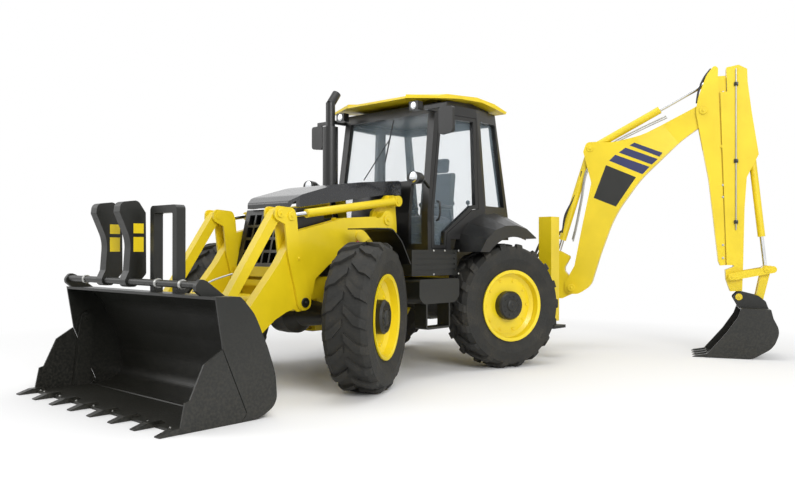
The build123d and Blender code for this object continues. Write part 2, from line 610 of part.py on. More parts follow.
with BuildPart() as bucket_lugs:
    for low, high in ((380, 400), (510, 530), (-400, -380), (-530, -510)):
        plate(BUCKET_LUG, low, high)
        pin(BUCKET_PIVOT, PIN_R + FIT, low - 1, high + 1, mode=Mode.SUBTRACT)
    plate([(-110, 900), (-110, 1610, 40), (-500, 1610, 40), (-500, 900), (-440, 900), (-440, 1550, 15),
           (-170, 1550, 15), (-170, 900)], -1500, -1420, facing)
    plate(BACK_OUTLINE, -BUCKET_HALF, BUCKET_HALF, mode=Mode.SUBTRACT)
finish(bucket_lugs.part, "bucket_lugs")

FORK_OUTLINE = [(-1656, 1004, 40), (-1618, 1085), (-1600, 1330, 300), (-1700, 1560, 20), (-1690, 1640, 50),
                (-1540, 1660, 50), (-1470, 1560), (-1465, 1060, 30), (-1560, 955, 30), (-1640, 955, 40)]
with BuildPart() as pallet_forks:
    for low, high in ((-500, -400), (-110, -10)):
        plate(FORK_OUTLINE, low, high)
        pin(FORK_SHAFT, FORK_SHAFT_R + FIT, low - 1, high + 1, mode=Mode.SUBTRACT)
finish(pallet_forks.part, "pallet_forks")

# ---------------------------------------------------------------- loader cylinders
with BuildPart() as tilt_barrels:
    rod_between(TILT_BASE, LEVER_TOP, 40, ARM_X, side, begin=30, finish=240)
    rod_between(TILT_BASE, LEVER_TOP, 22 + FIT, ARM_X, side, begin=90, finish=230, mode=Mode.SUBTRACT)
    pin(TILT_BASE, 55, ARM_X - 38, ARM_X + 38)
    pin(TILT_BASE, PIN_R + FIT, ARM_X - 50, ARM_X + 50, mode=Mode.SUBTRACT)
    mirror(about=Plane.YZ)
finish(tilt_barrels.part, "tilt_barrels")

with BuildPart() as tilt_rods:
    rod_between(TILT_BASE, LEVER_TOP, 22, ARM_X, side, begin=800, finish=0)
    pin(LEVER_TOP, 48, ARM_X - 40, ARM_X + 40)
    mirror(about=Plane.YZ)
finish(tilt_rods.part, "tilt_rods")

with BuildPart() as lift_barrels:
    rod_between(LIFT_BASE, LIFT_EYE, 40, ARM_X, side, begin=30, finish=140)
    rod_between(LIFT_BASE, LIFT_EYE, 25 + FIT, ARM_X, side, begin=60, finish=120, mode=Mode.SUBTRACT)
    pin(LIFT_BASE, 50, ARM_X - 27, ARM_X + 27)
    pin(LIFT_BASE, PIN_R + FIT, ARM_X - 50, ARM_X + 50, mode=Mode.SUBTRACT)
    mirror(about=Plane.YZ)
finish(lift_barrels.part, "lift_barrels")

with BuildPart() as lift_rods:
    rod_between(LIFT_BASE, LIFT_EYE, 25, ARM_X, side, begin=220, finish=0)
    pin(LIFT_EYE, 45, ARM_X - 26, ARM_X + 26)
    mirror(about=Plane.YZ)
finish(lift_rods.part, "lift_rods")

# ---------------------------------------------------------------- rear frame, stabilizers and carriage
COLUMN_X = (850.0, 1020.0)
COLUMN_U = (3140.0, 3320.0)
RAIL_LOW = (560.0, 700.0)
RAIL_HIGH = (1000.0, 1140.0)

with BuildPart() as rear_frame:
    block(COLUMN_X, COLUMN_U, (420, 1580))
    block((868, 1002), (3158, 3302), (400, 1560), mode=Mode.SUBTRACT)
    block(COLUMN_X, COLUMN_U, (1580, 1650))
    for z in (RAIL_LOW, RAIL_HIGH):
        block((0, COLUMN_X[0]), (3200, 3320), z)
        block((300, 360), (3140, 3200), z)
    mirror(about=Plane.YZ)
finish(rear_frame.part, "rear_frame")

for name, sign in (("left", 1), ("right", -1)):
    with BuildPart() as stabilizer:
        block((sign * 935 - 62, sign * 935 + 62), (3163, 3297), (375, 1490))
        block((sign * 935 - 150, sign * 935 + 150), (3100, 3360), (340, 375))
    finish(stabilizer.part, f"stabilizer_{name}")

KING_LOW_EAR = (560.0, 620.0)
KING_HIGH_EAR = (1000.0, 1060.0)
KING_R = 45.0
with BuildPart() as carriage:
    block((KING_X - 300, KING_X + 300), (3325, 3385), (520, 1180))
    for z0, z1 in (KING_LOW_EAR, KING_HIGH_EAR):
        ear = [(KING_X - 240, 3385), (KING_X - 95, KING_U, 0), (KING_X - 60, KING_U + 80, 30),
               (KING_X + 60, KING_U + 80, 30), (KING_X + 95, KING_U, 0), (KING_X + 240, 3385)]
        extrude(face(level(z0), ear), amount=z1 - z0)
    block((KING_X - 40, KING_X + 40), (3385, 3700), (620, 1000))
    for z0, z1 in ((515, 556), (1144, 1185)):
        block((KING_X - 300, KING_X + 300), (3196, 3385), (z0, z1))
    with BuildSketch(Plane(origin=(KING_X, DATUM_Y + KING_U, 500))):
        Circle(KING_R + FIT)
    extrude(amount=700, mode=Mode.SUBTRACT)
finish(carriage.part, "carriage")

POST_HALF = 66.0
with BuildPart() as swing_post:
    with BuildSketch(Plane(origin=(KING_X, DATUM_Y + KING_U, 540))):
        Circle(KING_R)
    extrude(amount=540)
    with BuildSketch(Plane(origin=(KING_X, DATUM_Y + KING_U, 625))):
        Circle(110)
    extrude(amount=370)
    plate([(0, 640), (300, 640), (420, 698, 60), (505, 740, 60), (505, 830, 60), (430, 870), (330, 990),
           (330, 1040), (401, 1174, 25), (258, 1252, 40), (150, 1160, 40), (150, 995), (0, 980)],
          -POST_HALF, POST_HALF, swung)
    plate([(140, 1040), (320, 1040), (420, 1180), (240, 1300), (140, 1200)], -46, 46, swung, Mode.SUBTRACT)
    pin(FOOT, PIN_R + 10, -100, 100, swung)
finish(swing_post.part, "swing_post")

# ---------------------------------------------------------------- digger: boom, dipper and slide
BOOM_HALF = 90.0
BOOM_TIP_HALF = 55.0
BOOM_OUTLINE = [(326, 747, 30), (377, 700, 30), (500, 700, 120), (654, 804, 200), (778, 1215, 900),
                (950, 1698, 1500), (1265, 2149, 1500), (1736, 2605, 1500), (1925, 2740), (2050, 2880, 60),
                (2040, 3010, 60), (1930, 3020, 60), (1840, 2969), (1265, 2676, 900), (925, 2605, 400),
                (720, 2620, 60), (600, 2620, 60), (560, 2500, 40), (660, 2105, 80), (541, 1523),
                (453, 1059, 80), (339, 851, 60)]
BOOM_FORK = [(250, 640), (560, 640), (560, 1000), (640, 1290), (560, 1440), (300, 1440)]
BOOM_HORN = [(450, 2720), (890, 2720), (890, 2590), (720, 2480), (690, 2050), (450, 2050)]

with BuildPart() as boom:
    plate(BOOM_OUTLINE, -BOOM_HALF, BOOM_HALF, swung)
    plate(BOOM_FORK, -POST_HALF - 6, POST_HALF + 6, swung, Mode.SUBTRACT)
    plate(BOOM_HORN, -60, 60, swung, Mode.SUBTRACT)
    tip_plane = swung(0)
    tip_origin = tip_plane.from_local_coords(Vector(TIP[0], TIP[1], 0))
    tip_along = (tip_origin - tip_plane.from_local_coords(Vector(1265, 2412, 0))).normalized()
    neck = Plane(origin=tip_origin, x_dir=tip_along, z_dir=tip_along.cross(ACROSS))
    for way in (-1, 1):
        cheek = [(-800, way * BOOM_HALF), (-450, way * BOOM_TIP_HALF), (200, way * BOOM_TIP_HALF), (200, way * 120),
                 (-800, way * 120)]
        extrude(face(neck, cheek), amount=600, both=True, mode=Mode.SUBTRACT)
    pin(KNEE, PIN_R, -70, 70, swung)
    pin(FOOT, PIN_R + 10 + FIT, -100, 100, swung, Mode.SUBTRACT)
    pin(TIP, PIN_R + FIT, -100, 100, swung, Mode.SUBTRACT)
finish(boom.part, "boom")

DIPPER_HALF = 85.0
DIPPER_OUTLINE = [(2101, 3484, 30), (2010, 3370, 300), (1917, 3105, 400), (1888, 2940, 300), (1930, 2700, 600),
                  (2038, 2105, 1500), (2145, 1125, 60), (2166, 1074), (2218, 1080), (2213, 1466), (2184, 2160),
                  (2138, 3348), (2140, 3440, 20)]
DIPPER_SLOT = [(1700, 3330), (1955, 3250), (2060, 3090), (2085, 2942), (2085, 2790), (2030, 2600), (1985, 2470),
               (1700, 2470)]
RAIL_FACE = [(2138, 3348), (2184, 2160), (2213, 1466), (2218, 1080), (2306, 1080), (2226, 3348)]
DIPPER_HEAD = [(1800, 3000), (2010, 3170), (2060, 3200), (2120, 3200), (2200, 3270), (2235, 3320), (2235, 3520),
               (1800, 3520)]

with BuildPart() as dipper:
    plate(DIPPER_OUTLINE, -DIPPER_HALF, DIPPER_HALF, swung)
    plate(RAIL_FACE, -65, 65, swung)
    plate(DIPPER_SLOT, -63, 63, swung, Mode.SUBTRACT)
    plate(DIPPER_HEAD, -52, 52, swung, Mode.SUBTRACT)
    pin(TIP, PIN_R, -90, 90, swung)
finish(dipper.part, "dipper")

SLIDE_OUTLINE = [(2364, 3463), (2458, 3407), (2463, 3255), (2508, 2891), (2553, 2597), (2584, 2391), (2526, 2267),
                 (2455, 2123), (2431, 1758), (2416, 1081), (2406, 776), (2276, 768), (2229, 909), (2223, 1023),
                 (2312.5, 1060), (2232, 3348), (2230, 3440)]
SLIDE_FLANGE = [(2236, 1080), (2330, 1080), (2257, 3150), (2163, 3150)]
with BuildPart() as dipper_slide:
    plate(SLIDE_OUTLINE, -95, 95, swung)
    for low, high in ((-95, -70), (70, 95)):
        plate(SLIDE_FLANGE, low, high, swung)
    pin(DIG_BASE, 60, -80, 80, swung)
    plate([(2440, 2100), (2440, 2510), (2600, 2560), (2700, 2400), (2650, 2100)], -46, 46, swung, Mode.SUBTRACT)
    pin(DIG_BASE, PIN_R, -80, 80, swung)
    pin(BUCKET_A, PIN_R + FIT, -100, 100, swung, Mode.SUBTRACT)
    pin(GUIDE, PIN_R + FIT, -100, 100, swung, Mode.SUBTRACT)
finish(dipper_slide.part, "dipper_slide")

DIG_HALF = 350.0
DIG_WALL = 18.0
DIG_OUTLINE = [(2376, 585), (2341, 484), (2217, 297), (2110, 168), (1993, 27), (1984, 5), (2341, 0), (2490, 0, 180),
               (2715, 140, 240), (2785, 330, 180), (2714, 477, 80), (2690, 575)]
DIG_INSIDE = [(1900, 700), (1960, 25), (2341, 18), (2486, 18, 165), (2700, 152, 225), (2766, 330, 165),
              (2697, 472, 90), (2670, 560), (2376, 567)]

with BuildPart() as dig_bucket:
    plate(DIG_OUTLINE, -DIG_HALF, DIG_HALF, swung)
    plate(DIG_INSIDE, -DIG_HALF + DIG_WALL, DIG_HALF - DIG_WALL, swung, Mode.SUBTRACT)
    for low, high in ((-130, -105), (105, 130)):
        plate([(2300, 706, 30), (2366, 775, 50), (2580, 722, 40), (2655, 660, 40), (2690, 565), (2376, 565)], low, high,
              swung)
        pin(BUCKET_A, PIN_R, low, high, swung)
    pin(BUCKET_A, PIN_R, -135, 135, swung)
    for index in range(4):
        n = -305 + index * 610 / 3
        plate([(1984, 5), (1848, 0), (1880, 18), (2010, 42), (2060, 25), (2060, 3)], n - 28, n + 28, swung)
finish(dig_bucket.part, "dig_bucket")

with BuildPart() as guide_levers:
    for low, high in ((-165, -145), (145, 165)):
        strap(GUIDE, GUIDE_END, 45, 40, low, high, swung)
    pin(GUIDE, PIN_R, -165, 165, swung)
    pin(LINK_PIN, PIN_R, -165, 165, swung)
finish(guide_levers.part, "guide_levers")

LINK_FOOT_R = 42.0
with BuildPart() as bucket_link:
    for low, high in ((-98, -50), (50, 98)):
        strap(LINK_PIN, BUCKET_B, 48, LINK_FOOT_R, low, high, swung)
        pin(LINK_PIN, PIN_R + FIT, low - 1, high + 1, swung, Mode.SUBTRACT)
finish(bucket_link.part, "bucket_link")

# ---------------------------------------------------------------- digger cylinders
# name, base, eye, barrel radius, rod radius, barrel end short of the eye, half width of the base eye, rod start
CYLINDERS = (
    ("boom", KNEE, BOOM_CYL_FOOT, 48, 28, 290, 30, 450),
    ("dipper", KNEE, DIPPER_ROD, 46, 28, 700, 56, 705),
    ("dig", DIG_BASE, LINK_PIN, 42, 24, 390, 38, 500),
)
for name, base, eye, barrel_r, rod_r, short, half, rod_start in CYLINDERS:
    with BuildPart() as barrel:
        rod_between(base, eye, barrel_r, 0, swung, begin=70, finish=short)
        pin(base, 52, -half, half, swung)
        rod_between(base, eye, min(barrel_r, half), 0, swung, begin=20, finish=short + 100)
        if name == "dipper":
            pin(base, 56, -33, 33, swung, Mode.SUBTRACT)
        rod_between(base, eye, rod_r + FIT, 0, swung, begin=110, finish=short - 20, mode=Mode.SUBTRACT)
        pin(base, PIN_R + FIT, -100, 100, swung, Mode.SUBTRACT)
    finish(barrel.part, f"{name}_cylinder_barrel")

    with BuildPart() as rod:
        rod_between(base, eye, rod_r, 0, swung, begin=rod_start, finish=0)
        pin(eye, 46, -36, 36, swung)
        if name == "dig":
            pin(eye, PIN_R + 8, -50, 50, swung, Mode.SUBTRACT)
    finish(rod.part, f"{name}_cylinder_rod")
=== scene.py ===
"""Dressed model of a jointed backhoe loader: finishes, soft parts, trim, floor, light and camera."""
from __future__ import annotations

import json
import logging
import math
from dataclasses import dataclass
from enum import Enum
from typing import Any, Sequence

import bmesh
import bpy
from mathutils import Matrix, Vector


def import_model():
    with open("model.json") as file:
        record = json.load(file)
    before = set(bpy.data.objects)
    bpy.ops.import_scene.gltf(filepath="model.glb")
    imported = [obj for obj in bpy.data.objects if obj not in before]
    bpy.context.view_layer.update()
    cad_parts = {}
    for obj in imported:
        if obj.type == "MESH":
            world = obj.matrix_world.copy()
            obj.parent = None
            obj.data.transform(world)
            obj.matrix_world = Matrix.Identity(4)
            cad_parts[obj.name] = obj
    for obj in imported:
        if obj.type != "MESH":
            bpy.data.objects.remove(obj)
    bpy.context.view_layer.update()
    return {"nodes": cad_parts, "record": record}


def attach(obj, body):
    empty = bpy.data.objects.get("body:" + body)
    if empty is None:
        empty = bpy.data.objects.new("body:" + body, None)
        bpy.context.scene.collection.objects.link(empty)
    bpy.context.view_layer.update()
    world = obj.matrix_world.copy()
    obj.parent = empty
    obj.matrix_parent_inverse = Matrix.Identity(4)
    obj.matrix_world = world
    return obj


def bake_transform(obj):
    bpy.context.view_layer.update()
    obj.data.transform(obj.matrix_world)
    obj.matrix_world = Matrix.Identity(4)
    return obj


LOG = logging.getLogger("backhoe")
Colour = tuple[float, float, float]
Point = tuple[float, float, float]

UP = Vector((0.0, 0.0, 1.0))
MM = 0.001
# where the machine's own lengths start, and the digger's king pin and its slew at rest
DATUM = 1.65
KING = Vector((0.386, 5.555, 0.0))
SLEW = math.radians(66.9)
REACH = Vector((math.sin(SLEW), math.cos(SLEW), 0.0))
ACROSS = Vector((math.cos(SLEW), -math.sin(SLEW), 0.0))


# ------------------------------------------------------------------ shader toolkit
class Wire:
    """A shader socket whose arithmetic adds Math nodes to its tree."""

    def __init__(self, paint: "Paintbox", socket: bpy.types.NodeSocket) -> None:
        """Keeps the socket and the tree that it is in."""
        self.paint = paint
        self.socket = socket

    def _math(self, operation: str, *values: Any) -> "Wire":
        """Adds a Math node.

        Args:
            operation: the Math node's operation.
            values: numbers or wires for its inputs.

        Returns:
            The node's output.
        """
        return self.paint.add("ShaderNodeMath", {"operation": operation}, dict(enumerate(values)))

    def __add__(self, other: Any) -> "Wire":
        """Sum."""
        return self._math("ADD", self, other)

    __radd__ = __add__

    def __sub__(self, other: Any) -> "Wire":
        """Difference."""
        return self._math("SUBTRACT", self, other)

    def __rsub__(self, other: Any) -> "Wire":
        """Reflected difference."""
        return self._math("SUBTRACT", other, self)

    def __mul__(self, other: Any) -> "Wire":
        """Product."""
        return self._math("MULTIPLY", self, other)

    __rmul__ = __mul__

    def clamp(self) -> "Wire":
        """Held between 0 and 1."""
        settings = {"operation": "MULTIPLY", "use_clamp": True}
        return self.paint.add("ShaderNodeMath", settings, {0: self, 1: 1.0})


class Paintbox:
    """Builds the node tree of one material or world."""

    def __init__(self, name: str, world: bpy.types.World | None = None) -> None:
        """Starts an empty material with that name, or the empty tree of a world."""
        self.material = world or bpy.data.materials.new(name)
        self.material.use_nodes = True
        self.tree = self.material.node_tree
        self.tree.nodes.clear()
        self.output = self.tree.nodes.new("ShaderNodeOutputWorld" if world else "ShaderNodeOutputMaterial")

    def add(self, kind: str, settings: dict[str, Any] | None = None, inputs: dict[Any, Any] | None = None,
            out: int | str = 0) -> Wire:
        """Adds any node.

        Args:
            kind: the node's type.
            settings: its settings, set first; "stops" fills a colour ramp.
            inputs: values or wires by socket name or number.
            out: which output to return.

        Returns:
            The chosen output.
        """
        node = self.tree.nodes.new(kind)
        for key, value in (settings or {}).items():
            if key == "stops":
                ramp = node.color_ramp
                while len(ramp.elements) < len(value):
                    ramp.elements.new(0.5)
                for element, (place, colour) in zip(ramp.elements, value):
                    element.position = place
                    element.color = (*colour, 1.0)
            else:
                setattr(node, key, value)
        for key, value in (inputs or {}).items():
            self.feed(node.inputs[key], value)
        return Wire(self, node.outputs[out])

    def feed(self, socket: bpy.types.NodeSocket, value: Any) -> None:
        """Sets a socket to a number, colour or wire."""
        if isinstance(value, Wire):
            self.tree.links.new(value.socket, socket)
        elif isinstance(value, (tuple, list)) and len(value) == 3 and socket.type == "RGBA":
            socket.default_value = (*value, 1.0)
        else:
            socket.default_value = value

    def place(self) -> Wire:
        """Object coordinates in metres."""
        return self.add("ShaderNodeTexCoord", out="Object")

    def noise(self, scale: float, detail: float = 3.0, rough: float = 0.5) -> Wire:
        """Noise value at the given scale per metre."""
        return self.add("ShaderNodeTexNoise", None,
                        {"Vector": self.place(), "Scale": scale, "Detail": detail, "Roughness": rough})

    def mix(self, share: Any, first: Any, second: Any) -> Wire:
        """Colour mix of first and second."""
        return self.add("ShaderNodeMix", {"data_type": "RGBA"}, {"Factor": share, 6: first, 7: second}, out=2)

    def span(self, value: Wire, low: float, high: float, to_low: float = 0.0, to_high: float = 1.0) -> Wire:
        """Maps a value from low..high to to_low..to_high, clamped."""
        return self.add("ShaderNodeMapRange", {"clamp": True}, {
            "Value": value, "From Min": low, "From Max": high, "To Min": to_low, "To Max": to_high})

    def bump(self, height: Wire, distance: float, strength: float = 1.0) -> Wire:
        """Bump normal from a height."""
        inputs = {"Height": height, "Distance": distance, "Strength": strength}
        return self.add("ShaderNodeBump", None, inputs)

    def surface(self, **sockets: Any) -> bpy.types.Material:
        """Closes the tree with a Principled shader.

        Args:
            sockets: values or wires by socket name, with underscores for spaces.

        Returns:
            The finished material.
        """
        shader = self.add("ShaderNodeBsdfPrincipled", None,
                          {key.replace("_", " "): value for key, value in sockets.items()})
        self.feed(self.output.inputs["Surface"], shader)
        return self.material


# ------------------------------------------------------------------ finishes
# the part of a noise that is stretched to its whole range, for broad tones and for fine grain
BROAD_BAND = (0.35, 0.65)
FINE_BAND = (0.3, 0.7)


@dataclass(frozen=True)
class EnamelPaint:
    """Sprayed paint on steel, with a faint mottle, orange peel and road dust low down."""

    name: str
    colour: Colour
    roughness: float = 0.35
    coat: float = 0.3
    mottle: float = 0.06
    dust: float = 0.25
    dust_top: float = 0.9
    dust_colour: Colour = (0.23, 0.20, 0.15)
    peel: float = 0.0002
    peel_scale: float = 420.0
    broad_scale: float = 2.3
    fine_scale: float = 46.0
    coat_roughness: float = 0.12

    def build(self) -> bpy.types.Material:
        """Makes the material."""
        box = Paintbox(self.name)
        broad = box.noise(self.broad_scale, 4.0)
        fine = box.noise(self.fine_scale, 5.0, 0.6)
        deep = tuple(c * (1.0 - 2.2 * self.mottle) for c in self.colour)
        pale = tuple(min(1.0, c * (1.0 + self.mottle) + 0.004) for c in self.colour)
        base = box.mix(box.span(broad, *BROAD_BAND), deep, pale)
        split = box.add("ShaderNodeSeparateXYZ", None, {0: box.place()}, out=2)
        low = box.span(split, self.dust_top, 0.0, 0.0, self.dust) * box.span(fine, 0.42, 0.62)
        base = box.mix(low.clamp(), base, self.dust_colour)
        rough = box.span(fine, *FINE_BAND, self.roughness - 0.05, self.roughness + 0.08) + low * 0.5
        peel = box.bump(box.noise(self.peel_scale, 2.0), self.peel, 0.35)
        return box.surface(Base_Color=base, Roughness=rough.clamp(), Coat_Weight=self.coat,
                           Coat_Roughness=self.coat_roughness, Normal=peel)


@dataclass(frozen=True)
class TyreRubber:
    """Worn matte rubber with dried dirt in its grain."""

    name: str
    colour: Colour = (0.022, 0.022, 0.02)
    dirt: Colour = (0.10, 0.085, 0.06)
    smooth: float = 0.62
    rough: float = 0.86
    grain_depth: float = 0.0012

    def build(self) -> bpy.types.Material:
        """Makes the material."""
        box = Paintbox(self.name)
        grain = box.noise(60.0, 6.0, 0.65)
        patch = box.noise(5.0, 4.0, 0.6)
        soil = (box.span(patch, 0.45, 0.75) * box.span(grain, 0.4, 0.65) * 0.55).clamp()
        base = box.mix(soil, self.colour, self.dirt)
        rough = box.span(grain, *FINE_BAND, self.smooth, self.rough)
        return box.surface(Base_Color=base, Roughness=rough, Specular_IOR_Level=0.35,
                           Normal=box.bump(grain, self.grain_depth, 0.6))


@dataclass(frozen=True)
class BareMetal:
    """Ground or plated metal with fine draw marks."""

    name: str
    colour: Colour
    roughness: float = 0.18
    mark_scale: float = 160.0
    mark_depth: float = 0.0001

    def build(self) -> bpy.types.Material:
        """Makes the material."""
        box = Paintbox(self.name)
        marks = box.noise(self.mark_scale, 4.0, 0.6)
        worn = tuple(c * 0.86 for c in self.colour)
        tone = box.mix(box.span(box.noise(7.0), *BROAD_BAND), worn, self.colour)
        rough = box.span(marks, *FINE_BAND, self.roughness, self.roughness + 0.14)
        return box.surface(Base_Color=tone, Metallic=1.0, Roughness=rough,
                           Normal=box.bump(marks, self.mark_depth, 0.2))


@dataclass(frozen=True)
class TintedGlass:
    """Thin cab glass with a pale tint."""

    name: str
    colour: Colour
    alpha: float = 0.09

    def build(self) -> bpy.types.Material:
        """Makes the material."""
        box = Paintbox(self.name)
        smear = box.noise(3.0, 3.0)
        tint = box.mix(box.span(smear, *BROAD_BAND), self.colour, tuple(c * 0.93 for c in self.colour))
        rough = box.span(smear, *FINE_BAND, 0.02, 0.06)
        return box.surface(Base_Color=tint, Alpha=self.alpha, Roughness=rough, Specular_IOR_Level=0.6)


@dataclass(frozen=True)
class MouldedPlastic:
    """Grained moulding."""

    name: str
    colour: Colour
    roughness: float = 0.55
    grain: float = 0.0005
    cell_scale: float = 220.0

    def build(self) -> bpy.types.Material:
        """Makes the material."""
        box = Paintbox(self.name)
        cells = box.noise(self.cell_scale, 3.0, 0.7)
        worn = tuple(c * 0.85 for c in self.colour)
        tone = box.mix(box.span(box.noise(4.0), *BROAD_BAND), worn, self.colour)
        rough = box.span(cells, *FINE_BAND, self.roughness - 0.08, self.roughness + 0.08)
        return box.surface(Base_Color=tone, Roughness=rough, Normal=box.bump(cells, self.grain, 0.4))


@dataclass(frozen=True)
class SeatCloth:
    """Close woven seat fabric."""

    name: str
    colour: Colour
    threads: float = 160.0
    depth: float = 0.0006

    def build(self) -> bpy.types.Material:
        """Makes the material."""
        box = Paintbox(self.name)
        inputs = {"Vector": box.place(), "Scale": self.threads}
        warp = box.add("ShaderNodeTexWave", {"bands_direction": "X"}, inputs, out=1)
        weft = box.add("ShaderNodeTexWave", {"bands_direction": "Z"}, inputs, out=1)
        weave = (warp * 0.5 + weft * 0.5).clamp()
        tone = box.mix(weave, tuple(c * 0.6 for c in self.colour), tuple(c * 1.3 for c in self.colour))
        return box.surface(Base_Color=tone, Roughness=0.9, Sheen_Weight=0.2,
                           Normal=box.bump(weave, self.depth, 0.5))


class Finish(Enum):
    """The finishes of the machine."""

    YELLOW = EnamelPaint("yellow_enamel", (0.80, 0.60, 0.007),
                         roughness=0.38, coat=0.15, dust=0.08, mottle=0.04)
    RIM_YELLOW = EnamelPaint("rim_enamel", (0.84, 0.64, 0.008),
                             roughness=0.32, coat=0.25, dust=0.08, mottle=0.04)
    DARK = EnamelPaint("dark_olive_enamel", (0.006, 0.0065, 0.0045),
                       roughness=0.38, coat=0.0, dust=0.08, mottle=0.03)
    BLACK = EnamelPaint("satin_black_enamel", (0.0035, 0.0035, 0.0032),
                        roughness=0.34, coat=0.05, dust=0.03, mottle=0.03)
    HOOD_BLACK = EnamelPaint("hood_gloss", (0.006, 0.007, 0.010),
                             roughness=0.24, coat=0.45, dust=0.0, mottle=0.03)
    CHROME = BareMetal("hard_chrome", (0.78, 0.79, 0.80), 0.12)
    STEEL = BareMetal("zinc_steel", (0.46, 0.46, 0.44), 0.32)
    CASTING = MouldedPlastic("rough_casting", (0.016, 0.016, 0.015), 0.6, 0.0012)
    RUBBER = TyreRubber("tyre_rubber")
    GLASS = TintedGlass("cab_glass_tint", (0.55, 0.70, 0.80))
    TRIM = MouldedPlastic("grey_green_trim", (0.030, 0.035, 0.031))
    HOSE = MouldedPlastic("hose_rubber", (0.018, 0.018, 0.018), 0.5)
    CLOTH = SeatCloth("seat_cloth", (0.045, 0.047, 0.055))
    RED = EnamelPaint("red_enamel", (0.45, 0.012, 0.010), roughness=0.35, coat=0.3, dust=0.0)
    LENS = BareMetal("lamp_lens", (0.82, 0.84, 0.86), 0.06)
    NAVY = EnamelPaint("navy_stripe", (0.012, 0.018, 0.09), roughness=0.35, coat=0.3, dust=0.0)

    def material(self) -> bpy.types.Material:
        """Makes the material once and returns it afterwards."""
        made = bpy.data.materials.get(self.value.name)
        return made or self.value.build()


SLOT_FINISH = {
    "yellow_paint": Finish.YELLOW, "rim_yellow": Finish.RIM_YELLOW, "dark_paint": Finish.DARK,
    "satin_black": Finish.BLACK, "gloss_black": Finish.HOOD_BLACK, "chrome": Finish.CHROME,
    "cast_iron": Finish.CASTING, "tyre": Finish.RUBBER, "glass": Finish.GLASS, "plastic": Finish.TRIM,
}


def dress(piece: bpy.types.Object, finish: Finish) -> None:
    """Gives a piece one finish."""
    piece.data.materials.clear()
    piece.data.materials.append(finish.material())


# ------------------------------------------------------------------ forms
def at(x: float, u: float, z: float) -> Vector:
    """Machine millimetres to scene metres.

    Args:
        x: across the machine.
        u: back along it, from the datum.
        z: up.

    Returns:
        The point in the shared frame.
    """
    return Vector((x, u, z)) * MM + Vector((0.0, DATUM, 0.0))


def dig(r: float, z: float, n: float) -> Vector:
    """Digger millimetres to scene metres.

    Args:
        r: out along the digger arm from its king pin.
        z: up.
        n: across the arm.

    Returns:
        The point in the shared frame.
    """
    return KING + (REACH * r + ACROSS * n + Vector((0.0, 0.0, z))) * MM


def smooth_path(points: Sequence[Vector], steps: int = 6) -> list[Vector]:
    """A Catmull-Rom curve through the points.

    Args:
        points: points to pass through.
        steps: pieces between two of them.

    Returns:
        The points of the curve.
    """
    path: list[Vector] = []
    for index in range(len(points) - 1):
        before = points[max(0, index - 1)]
        first, last = points[index], points[index + 1]
        after = points[min(len(points) - 1, index + 2)]
        for step in range(steps):
            t = step / steps
            slope = (last - before) * t
            bend = (2 * before - 5 * first + 4 * last - after) * t * t
            twist = (3 * first - before - 3 * last + after) * t ** 3
            path.append(0.5 * (2 * first + slope + bend + twist))
    return [*path, points[-1]]


def soften(value: float, power: float) -> float:
    """A power that keeps the sign.

    Args:
        value: number from -1 to 1.
        power: below 1 squares a round form.

    Returns:
        The shaped number.
    """
    return math.copysign(abs(value) ** power, value)


# along and radius of a bolt, as shares of its size
WASHER = ((0, 1.25), (0.22, 1.25), (0.26, 1.1))
HEXAGON = ((0, 1.0), (0.75, 1.0), (0.9, 0.82))
# how square a cushion is, how much its sides pull in, how it crowns, and its sewn channels
PAD_CORNER = 0.3
PAD_WAIST = 0.035
PAD_EDGE = 0.6
PAD_CROWN = 0.16
PAD_SEAM = 0.035
PAD_DEPTH = 0.13
PAD_CHANNELS = (-0.5, 0.0, 0.5)
SHARP_ANGLE = math.radians(32.0)


